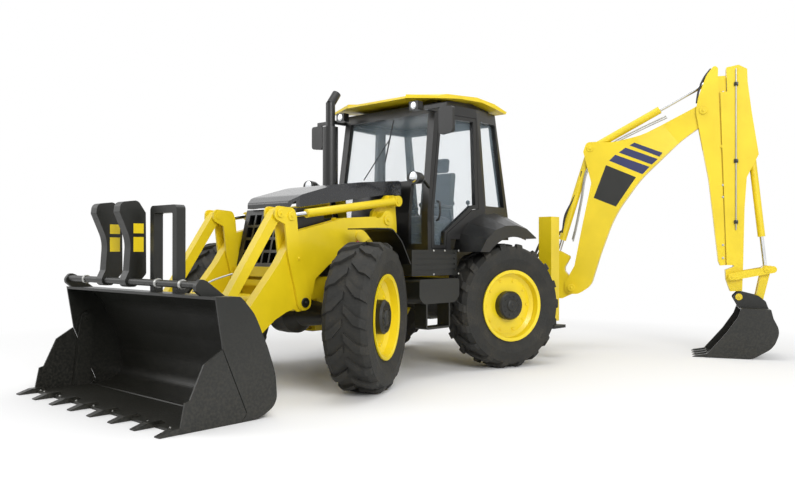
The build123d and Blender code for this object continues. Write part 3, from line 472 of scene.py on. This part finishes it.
class Forge:
    """Collects simple forms into one mesh piece."""

    def __init__(self, name: str, body: str, finish: Finish) -> None:
        """Starts an empty piece that rides on a body."""
        self.name = name
        self.body = body
        self.finish = finish
        self.mesh = bmesh.new()

    def skin(self, rings: Sequence[Sequence[bmesh.types.BMVert]]) -> "Forge":
        """Joins rings of corners, one to the next, and closes both ends.

        Args:
            rings: rings with the same number of corners.

        Returns:
            This piece.
        """
        sides = len(rings[0])
        for low, high in zip(rings, rings[1:]):
            for k in range(sides):
                nxt = (k + 1) % sides
                self.mesh.faces.new((low[k], low[nxt], high[nxt], high[k]))
        self.mesh.faces.new(rings[0][::-1])
        self.mesh.faces.new(rings[-1])
        return self

    def turn(self, base: Vector, axis: Vector, profile: Sequence[tuple[float, float]],
             sides: int = 24) -> "Forge":
        """Adds a turned form.

        Args:
            base: where the profile starts.
            axis: the way it runs.
            profile: (distance, radius) rows in millimetres.
            sides: facets around.

        Returns:
            This piece.
        """
        spin = axis.normalized().to_track_quat("Z", "Y").to_matrix()
        rings = []
        for along, radius in profile:
            rings.append([])
            for k in range(sides):
                angle = math.tau * k / sides
                spot = Vector((radius * MM * math.cos(angle), radius * MM * math.sin(angle), along * MM))
                rings[-1].append(self.mesh.verts.new(base + spin @ spot))
        return self.skin(rings)

    def rod(self, start: Vector, end: Vector, radius: float, sides: int = 24, edge: float = 2.0) -> "Forge":
        """Adds a bar with eased ends, its radius and edge in millimetres."""
        length = (end - start).length / MM
        profile = ((0, radius - edge), (edge, radius), (length - edge, radius), (length, radius - edge))
        return self.turn(start, end - start, profile, sides)

    def bolt(self, place: Vector, axis: Vector, size: float) -> "Forge":
        """Adds a washer and a hexagon head of that radius."""
        washer = [(along * size, radius * size) for along, radius in WASHER]
        head = [(along * size, radius * size) for along, radius in HEXAGON]
        self.turn(place, axis, washer, 20)
        return self.turn(place, axis, head, sides=6)

    def tube(self, points: Sequence[Vector], radius: float, sides: int = 12, steps: int = 6) -> "Forge":
        """Adds a round tube along a smooth path through the points."""
        path = smooth_path(points, steps)
        rings = []
        side = UP
        for index, place in enumerate(path):
            along = (path[min(index + 1, len(path) - 1)] - path[max(index - 1, 0)]).normalized()
            side = side - along * side.dot(along)
            side = side.normalized() if side.length > 1e-4 else along.orthogonal().normalized()
            other = along.cross(side)
            rings.append([])
            for k in range(sides):
                angle = math.tau * k / sides
                ray = side * math.cos(angle) + other * math.sin(angle)
                rings[-1].append(self.mesh.verts.new(place + ray * radius * MM))
        return self.skin(rings)

    def slab(self, outline: Sequence[Vector], push: Vector, edge: float = 0.0) -> "Forge":
        """Adds a plate.

        Args:
            outline: its corners.
            push: its thickness as a vector in metres.
            edge: bevel in millimetres.

        Returns:
            This piece.
        """
        low = [self.mesh.verts.new(p) for p in outline]
        high = [self.mesh.verts.new(p + push) for p in outline]
        faces = [self.mesh.faces.new(low), self.mesh.faces.new(high[::-1])]
        count = len(outline)
        for k in range(count):
            faces.append(self.mesh.faces.new((low[k], high[k], high[(k + 1) % count], low[(k + 1) % count])))
        if edge:
            # a dict keeps the order of the edges
            edges = list(dict.fromkeys(e for face in faces for e in face.edges))
            bmesh.ops.bevel(self.mesh, geom=edges, offset=edge * MM, segments=2, affect="EDGES", profile=0.5)
        return self

    def box(self, low: Vector, high: Vector, edge: float = 2.0) -> "Forge":
        """Adds an upright block between two corners."""
        corners = [Vector((x, y, low.z)) for x, y in (
            (low.x, low.y), (high.x, low.y), (high.x, high.y), (low.x, high.y))]
        return self.slab(corners, UP * (high.z - low.z), edge)

    def pad(self, centre: Vector, along: Vector, half: tuple[float, float, float], rows: int = 48) -> "Forge":
        """Adds a crowned cushion whose sides pull in, with sewn channels across it.

        Args:
            centre: its middle.
            along: the way its length runs.
            half: half width, half length and half thickness in millimetres.
            rows: facets from face to face.

        Returns:
            This piece.
        """
        wide = Vector((1.0, 0.0, 0.0))
        out = wide.cross(along)
        rings = []
        for row in range(1, rows):
            tilt = math.pi * (row / rows - 0.5)
            rings.append([])
            for k in range(rows * 2):
                turn = math.pi * k / rows
                x = soften(math.cos(tilt), PAD_CORNER) * soften(math.cos(turn), PAD_CORNER)
                y = soften(math.cos(tilt), PAD_CORNER) * soften(math.sin(turn), PAD_CORNER)
                waist = 1.0 - PAD_WAIST * (1.0 - abs(x * y)) * math.cos(tilt)
                seam = sum(math.exp(-((y - line) / PAD_SEAM) ** 2) for line in PAD_CHANNELS)
                crown = soften(math.sin(tilt), PAD_EDGE) * (1.0 - PAD_CROWN * (x * x + y * y))
                crown = crown * (1.0 - PAD_DEPTH * seam)
                spot = wide * x * half[0] * waist + along * y * half[1] * waist + out * crown * half[2]
                rings[-1].append(self.mesh.verts.new(centre + spot * MM))
        return self.skin(rings)

    def done(self, bodies: tuple[str, str] | None = None, ends: tuple[Vector, Vector] | None = None) -> None:
        """Closes the piece, dresses it and puts it on its body, unless bodies and ends are given: then it
        bakes its place and leaves it on no body.

        Args:
            bodies: two jointed bodies; only whether they are given is used, and nothing makes the piece bend
                between them.
            ends: two points; only whether they are given is used.
        """
        bmesh.ops.recalc_face_normals(self.mesh, faces=self.mesh.faces)
        data = bpy.data.meshes.new(self.name)
        self.mesh.to_mesh(data)
        self.mesh.free()
        data.polygons.foreach_set("use_smooth", [True] * len(data.polygons))
        data.set_sharp_from_angle(angle=SHARP_ANGLE)
        piece = bpy.data.objects.new(self.name, data)
        bpy.context.scene.collection.objects.link(piece)
        dress(piece, self.finish)
        if bodies and ends:
            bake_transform(piece)
        else:
            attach(piece, self.body)
        LOG.info("piece %s on %s, %d faces", self.name, self.body, len(data.polygons))


def across(x: float) -> Vector:
    """Unit vector to the side that x is on."""
    return Vector((math.copysign(1.0, x), 0.0, 0.0))


# ------------------------------------------------------------------ trim of each sub-assembly
# sizes are in millimetres and angles in degrees, unless a comment says otherwise
@dataclass
class Wheels:
    """Rim nuts, hub cover with its bolts, and valve of every wheel."""

    # name, side, axle's place, steering angle
    rows: tuple[tuple[str, int, float, float], ...] = (
        ("front_left", 1, 60.0, 26.0), ("front_right", -1, 60.0, 22.0),
        ("rear_left", 1, 2260.0, -18.0), ("rear_right", -1, 2260.0, -15.5))
    axle_z: float = 664.0
    kingpin: float = 800.0
    offset: float = 180.0
    nuts: int = 10
    # each: radius from the axle, place along it, size
    rim_nut: Point = (268.0, 84.0, 15.0)
    cover_bolt: Point = (100.0, 178.0, 9.0)
    cover: tuple[tuple[float, float], ...] = (
        (80, 153), (158, 153), (164, 148), (179, 136), (179, 66), (192, 58), (196, 50), (196, 18), (200, 15))
    valve_foot: tuple[float, float] = (308.0, 92.0)
    valve_tip: tuple[float, float] = (330.0, 150.0)
    valve_radius: float = 6.0

    def build(self) -> None:
        """Makes the trim of the four wheels."""
        for name, sign, place, steer in self.rows:
            turn = math.radians(steer)
            axle = Vector((sign * math.cos(turn), sign * math.sin(turn), 0.0))
            centre = at(sign * self.kingpin, place, self.axle_z) + axle * self.offset * MM
            side = axle.cross(UP)
            nuts = Forge(f"rim_nuts_{name}", f"wheel_{name}", Finish.RIM_YELLOW)
            cover = Forge(f"hub_bolts_{name}", f"wheel_{name}", Finish.DARK)
            for index in range(self.nuts):
                angle = math.tau * index / self.nuts
                ray = side * math.cos(angle) + Vector((0.0, 0.0, math.sin(angle)))
                for piece, (radius, along, size) in ((nuts, self.rim_nut), (cover, self.cover_bolt)):
                    piece.bolt(centre + (ray * radius + axle * along) * MM, axle, size)
            cover.turn(centre, axle, self.cover, 48)
            foot, tip = (centre + (side * radius + axle * along) * MM
                         for radius, along in (self.valve_foot, self.valve_tip))
            nuts.rod(foot, tip, self.valve_radius, 12)
            nuts.done()
            cover.done()


@dataclass
class LoaderTrim:
    """Pin heads of the loader and the safety strut on its left arm."""

    # body, u, z, inner x, outer x, radius
    heads: tuple[tuple[str, float, float, float, float, float], ...] = (
        ("lever_pins", -222, 786, 532, 546, 44), ("link_pins", -505, 1575, 532, 546, 38),
        ("loader_arms", 880, 1555, 505, 520, 52), ("bucket_pins", -985, 395, 532, 546, 42),
        ("tilt_levers", -380, 1554, 532, 544, 40), ("tilt_levers", -290, 1180, 532, 540, 16))
    edge: float = 3.0
    bolt_share: float = 0.3
    strut_low: Point = (509.0, 190.0, 1130.0)
    strut_high: Point = (509.0, 470.0, 1330.0)
    strut_bolt: Point = (505.0, 180.0, 1125.0)
    strut_radius: float = 22.0
    strut_bolt_size: float = 14.0

    def build(self) -> None:
        """Makes the trim on both arms."""
        for index, (body, place, z, inner, outer, radius) in enumerate(self.heads):
            finish = Finish.YELLOW if index else Finish.DARK
            caps = Forge(f"loader_pin_heads_{index + 1}", body, finish)
            for sign in (1, -1):
                tip = at(sign * outer, place, z)
                caps.rod(at(sign * inner, place, z), tip, radius, 32, self.edge)
                caps.bolt(tip, across(sign), radius * self.bolt_share)
            caps.done()
        strut = Forge("arm_safety_strut", "loader_arms", Finish.RED)
        strut.rod(at(*self.strut_low), at(*self.strut_high), self.strut_radius, 20)
        strut.bolt(at(*self.strut_bolt), across(1), self.strut_bolt_size)
        strut.done()


@dataclass
class CabTrim:
    """Door grips, mirror glass, lamp lenses, wiper, exhaust clamps, seat, levers and skirt bolts."""

    grip_u: float = 1365.0
    grip_radius: float = 11.0
    # x, z
    grip: tuple[tuple[float, float], ...] = ((745, 1560), (775, 1580), (790, 1650), (782, 1740), (752, 1760))
    mirror_u: float = 1283.0
    mirror_thick: float = 0.002  # metres
    mirror: tuple[tuple[float, float], ...] = ((880, 2424), (1034, 2444), (1034, 2674), (880, 2674))
    # x, u, z, profile of (distance, radius)
    lenses: tuple[tuple[float, float, float, tuple[tuple[float, float], ...]], ...] = (
        (548, 1225, 2745, ((-2, 38), (2, 38), (5, 30), (6, 12))),
        (780, 960, 1975, ((-2, 52), (3, 52), (8, 40), (10, 16))))
    # start, end, radius
    wiper: tuple[tuple[Point, Point, float], ...] = (
        ((-120, 1175, 2010), (250, 1190, 2420), 6.0), ((200, 1170, 2180), (300, 1196, 2620), 8.0))
    exhaust: tuple[float, float] = (-322.0, 870.0)
    clamp_heights: tuple[float, ...] = (1990.0, 2240.0, 2520.0)
    clamp: tuple[tuple[float, float], ...] = ((0, 46), (3, 49), (17, 49), (20, 46))
    # name, centre, lean, half sizes
    cushions: tuple[tuple[str, Point, Point, Point], ...] = (
        ("seat_cushion", (0, 2040, 1590), (0.0, 1.0, 0.0), (238.0, 215.0, 62.0)),
        ("seat_back", (0, 2272, 1865), (0.0, 0.115, 0.993), (222.0, 290.0, 58.0)),
        ("head_rest", (0, 2330, 2245), (0.0, 0.115, 0.993), (130.0, 85.0, 42.0)))
    cushion_fill: float = 0.6
    arm_rest_x: float = 262.0
    # across from its middle, u, z
    arm_rest: tuple[Point, Point] = ((-38.0, 1900.0, 1720.0), (38.0, 2210.0, 1765.0))
    arm_rest_edge: float = 14.0
    arm_bracket: tuple[Point, Point] = ((262.0, 2180.0, 1725.0), (225.0, 2260.0, 1600.0))
    arm_bracket_radius: float = 16.0
    # x, u
    levers: tuple[tuple[float, float], ...] = (
        (-300, 1820), (300, 1820), (-360, 2420), (-120, 2440), (120, 2440), (360, 2420))
    lever_lean: float = 20.0
    lever_foot: float = 1400.0
    lever_top: float = 1790.0
    lever_radius: float = 7.0
    knob_foot: float = 1780.0
    knob: tuple[tuple[float, float], ...] = ((0, 10), (8, 22), (36, 24), (50, 12))
    console_low: Point = (-420.0, 2370.0, 1260.0)
    console_high: Point = (420.0, 2500.0, 1500.0)
    console_edge: float = 20.0
    skirt_x: float = 1001.0
    skirt_bolt: float = 8.0
    # u, z
    skirt: tuple[tuple[float, float], ...] = (
        (1010, 1250), (1180, 1250), (1400, 1250), (1010, 1020), (1400, 1020))

    def outside(self) -> None:
        """Makes the grips, mirrors, lenses, wiper and exhaust clamps."""
        for sign, name in ((1, "left"), (-1, "right")):
            grip = Forge(f"door_grip_{name}", f"door_{name}", Finish.BLACK)
            grip.tube([at(sign * x, self.grip_u, z) for x, z in self.grip], self.grip_radius)
            grip.done()
            glass = Forge(f"mirror_glass_{name}", "chassis", Finish.CHROME)
            outline = [at(sign * x, self.mirror_u, z) for x, z in self.mirror]
            glass.slab(outline, Vector((0.0, self.mirror_thick, 0.0)), 0.8)
            glass.done()
            lens = Forge(f"lamp_lenses_{name}", "chassis", Finish.LENS)
            for x, place, z, profile in self.lenses:
                lens.turn(at(sign * x, place, z), Vector((0.0, -1.0, 0.0)), profile, 32)
            lens.done()
        wiper = Forge("front_wiper", "chassis", Finish.BLACK)
        for start, end, radius in self.wiper:
            wiper.rod(at(*start), at(*end), radius, 10)
        wiper.done()
        clamps = Forge("exhaust_clamps", "chassis", Finish.STEEL)
        for z in self.clamp_heights:
            clamps.turn(at(*self.exhaust, z), UP, self.clamp, 32)
        clamps.done()

    def seat(self) -> None:
        """Makes the cushions and the arm rests."""
        for name, place, lean, half in self.cushions:
            cushion = Forge(name, "chassis", Finish.CLOTH)
            cushion.pad(at(*place), Vector(lean), half)
            cushion.done()
        arms = Forge("seat_arms", "chassis", Finish.BLACK)
        # brackets first, because faces that follow a bevel get a different order in each run
        for sign in (1, -1):
            head, foot = (at(sign * x, u, z) for x, u, z in self.arm_bracket)
            arms.rod(head, foot, self.arm_bracket_radius)
        for sign in (1, -1):
            middle = sign * self.arm_rest_x
            low, high = (at(middle + half, u, z) for half, u, z in self.arm_rest)
            arms.box(low, high, self.arm_rest_edge)
        arms.done()

    def controls(self) -> None:
        """Makes the levers with their knobs and the rear console."""
        levers = Forge("cab_levers", "chassis", Finish.BLACK)
        for x, u in self.levers:
            tip = u - self.lever_lean
            levers.rod(at(x, u, self.lever_foot), at(x, tip, self.lever_top), self.lever_radius, 12)
            levers.turn(at(x, tip, self.knob_foot), UP, self.knob, 20)
        levers.box(at(*self.console_low), at(*self.console_high), self.console_edge)
        levers.done()

    def build(self) -> None:
        """Makes the trim on the cab and the bodywork."""
        self.outside()
        self.seat()
        self.controls()
        nuts = Forge("skirt_bolts", "chassis", Finish.STEEL)
        for place, z in self.skirt:
            nuts.bolt(at(self.skirt_x, place, z), across(1), self.skirt_bolt)
        nuts.done()


@dataclass
class DiggerTrim:
    """Stripes, blank panel, pipes, clamps, hoses, bolts and pin heads of the digger."""

    stripes: tuple[tuple[tuple[float, float], ...], ...] = (
        ((1179, 2590), (1510, 2450), (1475, 2405), (1123, 2557)),
        ((1074, 2532), (1456, 2376), (1386, 2310), (994, 2473)),
        ((952, 2448), (1360, 2283), (1276, 2194), (878, 2376)))
    panel: tuple[tuple[float, float], ...] = ((840, 2323), (1200, 2160), (960, 1800), (690, 1915))
    # body, r, z, half width, radius
    heads: tuple[tuple[str, float, float, float, float], ...] = (
        ("boom", 420, 783, 150, 44), ("boom", 644, 2540, 92, 42), ("dipper", 1974, 2942, 92, 46),
        ("dig_bucket", 2366, 706, 137, 40), ("guide_levers", 2290, 945, 167, 40),
        ("guide_levers", 2665, 1033, 167, 36), ("dipper", 2180, 2500, 86, 20))
    head_sunk: float = 3.0
    head_proud: float = 8.0
    bolt_share: float = 0.3
    decal_n: float = 89.6
    decal_thick: float = 0.0012  # metres
    pipe_radius: float = 9.0
    pipe_n: float = 78.0
    pipe_gaps: tuple[float, ...] = (0.0, 24.0)
    # r, z
    boom_pipe: tuple[tuple[float, float], ...] = (
        (1563, 2880), (1247, 2740), (903, 2566), (752, 2418),
        (605, 2231), (544, 1890), (482, 1565), (435, 1367))
    slide_pipe_r: float = 2337.0
    slide_pipe_n: float = 105.0
    slide_pipe_radius: float = 8.0
    slide_pipe_z: tuple[float, ...] = (3420, 3234, 2319, 1594, 1500)
    clamp_z: tuple[float, ...] = (3234.0, 2319.0, 1594.0)
    clamp_half: float = 22.0
    clamp_n: float = 94.0
    clamp_thick: float = 0.024  # metres
    dipper_bolt_r: float = 2195.0
    dipper_bolt_n: float = 85.0
    dipper_bolt: float = 11.0
    dipper_bolt_z: tuple[float, ...] = (3150.0, 2660.0, 2037.0, 1894.0, 1320.0, 1165.0)
    foot_hose: tuple[tuple[float, float], ...] = (
        (300, 1480), (330, 1700), (430, 1900), (500, 2080), (540, 2260))
    foot_hose_n: tuple[float, ...] = (-34.0, 0.0, 34.0)
    foot_hose_radius: float = 13.0
    head_hose: tuple[tuple[float, float], ...] = ((1905, 3060), (1925, 3200), (1985, 3340), (2060, 3440))
    head_hose_n: tuple[float, ...] = (70.0, -70.0)
    # points passed as the ends of the swing hoses; nothing makes the hoses bend between them
    bend: tuple[tuple[float, float], ...] = ((40, 1300), (300, 1500))
    swing_hose_n: tuple[float, ...] = (-130.0, -104.0, 104.0, 130.0)
    hose_radius: float = 12.0
    teeth: int = 4
    # r, z
    tooth: tuple[float, float] = (2010.0, 43.0)
    tooth_bolt: float = 9.0
    teeth_span: float = 610.0

    def markings(self) -> None:
        """Makes the stripes on both faces of the boom and the blank panel."""
        face = ACROSS * self.decal_thick
        marks = Forge("boom_stripes", "boom", Finish.NAVY)
        for outline in self.stripes:
            for sign in (1, -1):
                marks.slab([dig(r, z, sign * self.decal_n) for r, z in outline], face * sign)
        marks.done()
        blank = Forge("boom_blank_panel", "boom", Finish.DARK)
        blank.slab([dig(r, z, self.decal_n) for r, z in self.panel], face)
        blank.done()

    def pins(self) -> None:
        """Makes the head at each end of every pin."""
        for index, (body, r, z, half, radius) in enumerate(self.heads):
            caps = Forge(f"digger_pin_heads_{index + 1}", body, Finish.YELLOW)
            for sign in (1, -1):
                tip = dig(r, z, sign * (half + self.head_proud))
                caps.rod(dig(r, z, sign * (half - self.head_sunk)), tip, radius, 32, 3.0)
                caps.bolt(tip, ACROSS * sign, radius * self.bolt_share)
            caps.done()

    def pipes(self) -> None:
        """Makes the steel pipes, the clamps on the slide and the bolts of the dipper."""
        for index, gap in enumerate(self.pipe_gaps):
            pipe = Forge(f"boom_pipe_{index + 1}", "boom", Finish.STEEL)
            route = [dig(r - gap * 0.5, z + gap, self.pipe_n - gap) for r, z in self.boom_pipe]
            pipe.tube(route, self.pipe_radius)
            pipe.done()
        slide = Forge("slide_pipe", "dipper_slide", Finish.STEEL)
        route = [dig(self.slide_pipe_r, z, self.slide_pipe_n) for z in self.slide_pipe_z]
        slide.tube(route, self.slide_pipe_radius)
        slide.done()
        clamps = Forge("slide_pipe_clamps", "dipper_slide", Finish.BLACK)
        half = self.clamp_half
        for z in self.clamp_z:
            corners = [dig(self.slide_pipe_r + i * half, z + j * half, self.clamp_n)
                       for i, j in ((-1, -1), (1, -1), (1, 1), (-1, 1))]
            clamps.slab(corners, ACROSS * self.clamp_thick, 3.0)
        clamps.done()
        bolts = Forge("dipper_bolts", "dipper", Finish.STEEL)
        for z in self.dipper_bolt_z:
            for sign in (1, -1):
                place = dig(self.dipper_bolt_r, z, sign * self.dipper_bolt_n)
                bolts.bolt(place, ACROSS * sign, self.dipper_bolt)
        bolts.done()

    def hoses(self) -> None:
        """Makes the hoses at the boom's foot, past the swing post and at the dipper's head."""
        for index, n in enumerate(self.foot_hose_n):
            hose = Forge(f"boom_foot_hose_{index + 1}", "boom", Finish.HOSE)
            hose.tube([dig(r, z, n) for r, z in self.foot_hose], self.foot_hose_radius)
            hose.done()
        for index, n in enumerate(self.swing_hose_n):
            hose = Forge(f"swing_hose_{index + 1}", "swing_post", Finish.HOSE)
            route = ((-60, 1150), (40, 1300 + 24 * index), (170, 1420), (300, 1500))
            hose.tube([dig(r, z, n) for r, z in route], self.hose_radius)
            low, high = (dig(r, z, 0) for r, z in self.bend)
            hose.done(("swing_post", "boom"), (low, high))
        for index, n in enumerate(self.head_hose_n):
            hose = Forge(f"dipper_hose_{index + 1}", "dipper", Finish.HOSE)
            hose.tube([dig(r, z, n) for r, z in self.head_hose], self.hose_radius)
            hose.done()

    def build(self) -> None:
        """Makes the trim along the arm."""
        self.markings()
        self.pins()
        self.pipes()
        self.hoses()
        teeth = Forge("dig_tooth_bolts", "dig_bucket", Finish.STEEL)
        for index in range(self.teeth):
            n = -self.teeth_span / 2 + index * self.teeth_span / (self.teeth - 1)
            teeth.bolt(dig(*self.tooth, n), UP, self.tooth_bolt)
        teeth.done()


@dataclass
class ForkTrim:
    """Collars and blank yellow plates of the folded forks, level indicator and cutting edge bolts."""

    collar_x: tuple[float, ...] = (-760.0, -420.0, 420.0, 760.0)
    collar_half: float = 14.0
    collar_radius: float = 37.0
    shaft: tuple[float, float] = (-1610.0, 1000.0)
    label_x: tuple[float, ...] = (-399.5, -9.5)
    label_u: tuple[float, float] = (-1580.0, -1490.0)
    label_z: tuple[tuple[float, float], ...] = ((1240, 1360), (1390, 1470))
    indicator_x: float = 540.0
    indicator_radius: float = 7.0
    indicator: tuple[tuple[float, float], ...] = ((-1380, 930), (-1200, 1010), (-1010, 1060))
    edge_bolts: int = 8
    edge_first: float = -1050.0
    edge_step: float = 300.0
    edge_shift: float = 38.0
    # u, z
    edge: tuple[float, float] = (-1862.0, 19.0)
    edge_bolt: float = 9.0

    def build(self) -> None:
        """Makes the trim at the front."""
        collars = Forge("fork_shaft_collars", "pallet_forks", Finish.STEEL)
        for x in self.collar_x:
            low, high = (at(x + side * self.collar_half, *self.shaft) for side in (-1, 1))
            collars.rod(low, high, self.collar_radius, 28)
        collars.done()
        labels = Forge("fork_blank_labels", "pallet_forks", Finish.YELLOW)
        front, back = self.label_u
        for x in self.label_x:
            for low, high in self.label_z:
                corners = [at(x, u, z) for u, z in ((front, low), (back, low), (back, high), (front, high))]
                labels.slab(corners, Vector((0.001, 0.0, 0.0)))
        labels.done()
        bar = Forge("level_indicator", "bucket", Finish.STEEL)
        bar.tube([at(self.indicator_x, u, z) for u, z in self.indicator], self.indicator_radius)
        bar.done()
        bolts = Forge("cutting_edge_bolts", "bucket_jaw", Finish.STEEL)
        for index in range(self.edge_bolts):
            x = self.edge_first + index * self.edge_step
            for shift in (-self.edge_shift, self.edge_shift):
                bolts.bolt(at(x + shift, *self.edge), UP, self.edge_bolt)
        bolts.done()


# ------------------------------------------------------------------ the scene around the machine
@dataclass
class Studio:
    """Floor, background, lights and camera, in metres, degrees, millimetres of lens and watts."""

    eye: Point = (5.8029, -3.1278, 1.2617)
    heading: float = 42.358
    pitch: float = 0.0697
    roll: float = 0.0819
    lens: float = 35.075
    sensor: float = 36.0
    clip_end: float = 200.0
    white: Colour = (1.0, 1.0, 1.0)
    sky: float = 0.55
    floor_radius: float = 30.0
    floor_centre: Point = (0.8, 2.5, -0.001)
    floor_grey: Colour = (0.93, 0.93, 0.93)
    # where the floor starts to fade and where it is gone
    fade: tuple[float, float] = (3.4, 7.5)
    # name, place, size, power
    lights: tuple[tuple[str, Point, float, float], ...] = (
        ("key", (15.0, -5.0, 9.0), 8.0, 1750.0), ("fill", (-6.0, -4.0, 6.0), 6.0, 200.0),
        ("top", (1.0, 3.0, 9.0), 7.0, 300.0))
    lamp_aim: Point = (0.6, 2.2, 0.8)

    def camera(self) -> None:
        """Places the camera."""
        data = bpy.data.cameras.new("camera")
        data.lens = self.lens
        data.sensor_width = self.sensor
        data.clip_end = self.clip_end
        view = bpy.data.objects.new("camera", data)
        bpy.context.scene.collection.objects.link(view)
        turn = Matrix.Rotation(math.radians(self.heading), 4, "Z")
        tilt = Matrix.Rotation(math.radians(90.0 + self.pitch), 4, "X")
        bank = Matrix.Rotation(math.radians(self.roll), 4, "Z")
        view.matrix_world = Matrix.Translation(self.eye) @ turn @ tilt @ bank
        bpy.context.scene.camera = view

    def floor(self) -> None:
        """Lays the pale floor, which fades into the white background."""
        mesh = bmesh.new()
        bmesh.ops.create_circle(mesh, cap_ends=True, radius=self.floor_radius, segments=64)
        data = bpy.data.meshes.new("floor")
        mesh.to_mesh(data)
        mesh.free()
        ground = bpy.data.objects.new("floor", data)
        ground.location = self.floor_centre
        bpy.context.scene.collection.objects.link(ground)
        box = Paintbox("pale_floor")
        centre = box.add("ShaderNodeVectorMath", {"operation": "LENGTH"}, {0: box.place()}, out="Value")
        fade = box.span(centre, *self.fade)
        seen = box.add("ShaderNodeLightPath", out="Is Camera Ray")
        matte = box.add("ShaderNodeBsdfDiffuse", None, {"Color": self.floor_grey})
        glow = box.add("ShaderNodeEmission", None, {"Color": self.white, "Strength": 1.0})
        both = box.add("ShaderNodeMixShader", None, {0: (fade * seen).clamp(), 1: matte, 2: glow})
        box.feed(box.output.inputs["Surface"], both)
        data.materials.append(box.material)

    def world(self) -> None:
        """White where it is seen directly, mirrored or through glass, and an even sky elsewhere."""
        world = bpy.data.worlds.new("studio")
        bpy.context.scene.world = world
        box = Paintbox("studio", world)
        seen, mirrored, through = (box.add("ShaderNodeLightPath", out=f"Is {kind} Ray")
                                   for kind in ("Camera", "Glossy", "Transmission"))
        sky = box.add("ShaderNodeBackground", None, {"Color": self.white, "Strength": self.sky})
        plain = box.add("ShaderNodeBackground", None, {"Color": self.white, "Strength": 1.0})
        share = (seen + mirrored + through).clamp()
        both = box.add("ShaderNodeMixShader", None, {0: share, 1: sky, 2: plain})
        box.feed(box.output.inputs["Surface"], both)

    def lamps(self) -> None:
        """A large soft key from the machine's front left, a weaker fill and one above."""
        for name, place, size, power in self.lights:
            data = bpy.data.lights.new(name, "AREA")
            data.size = size
            data.energy = power
            lamp = bpy.data.objects.new(name, data)
            lamp.location = place
            aim = Vector(self.lamp_aim) - Vector(place)
            lamp.rotation_euler = aim.to_track_quat("-Z", "Y").to_euler()
            bpy.context.scene.collection.objects.link(lamp)

    def build(self) -> None:
        """Sets up everything that isn't the machine."""
        self.camera()
        self.floor()
        self.world()
        self.lamps()
        bpy.context.scene.view_settings.view_transform = "Standard"


def main() -> None:
    """Loads the frame, dresses it and adds every piece."""
    logging.basicConfig(level=logging.INFO, format="%(message)s")
    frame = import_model()
    Studio().build()
    slots = {part["node"]: part["material_slot"] for part in frame["record"]["subparts"]}
    for node, piece in frame["nodes"].items():
        dress(piece, SLOT_FINISH[slots[node]])
        for polygon in piece.data.polygons:
            polygon.use_smooth = False
        LOG.info("dressed %s", node)
    for trim in (Wheels(), LoaderTrim(), CabTrim(), DiggerTrim(), ForkTrim()):
        trim.build()


if __name__ == "__main__":
    main()
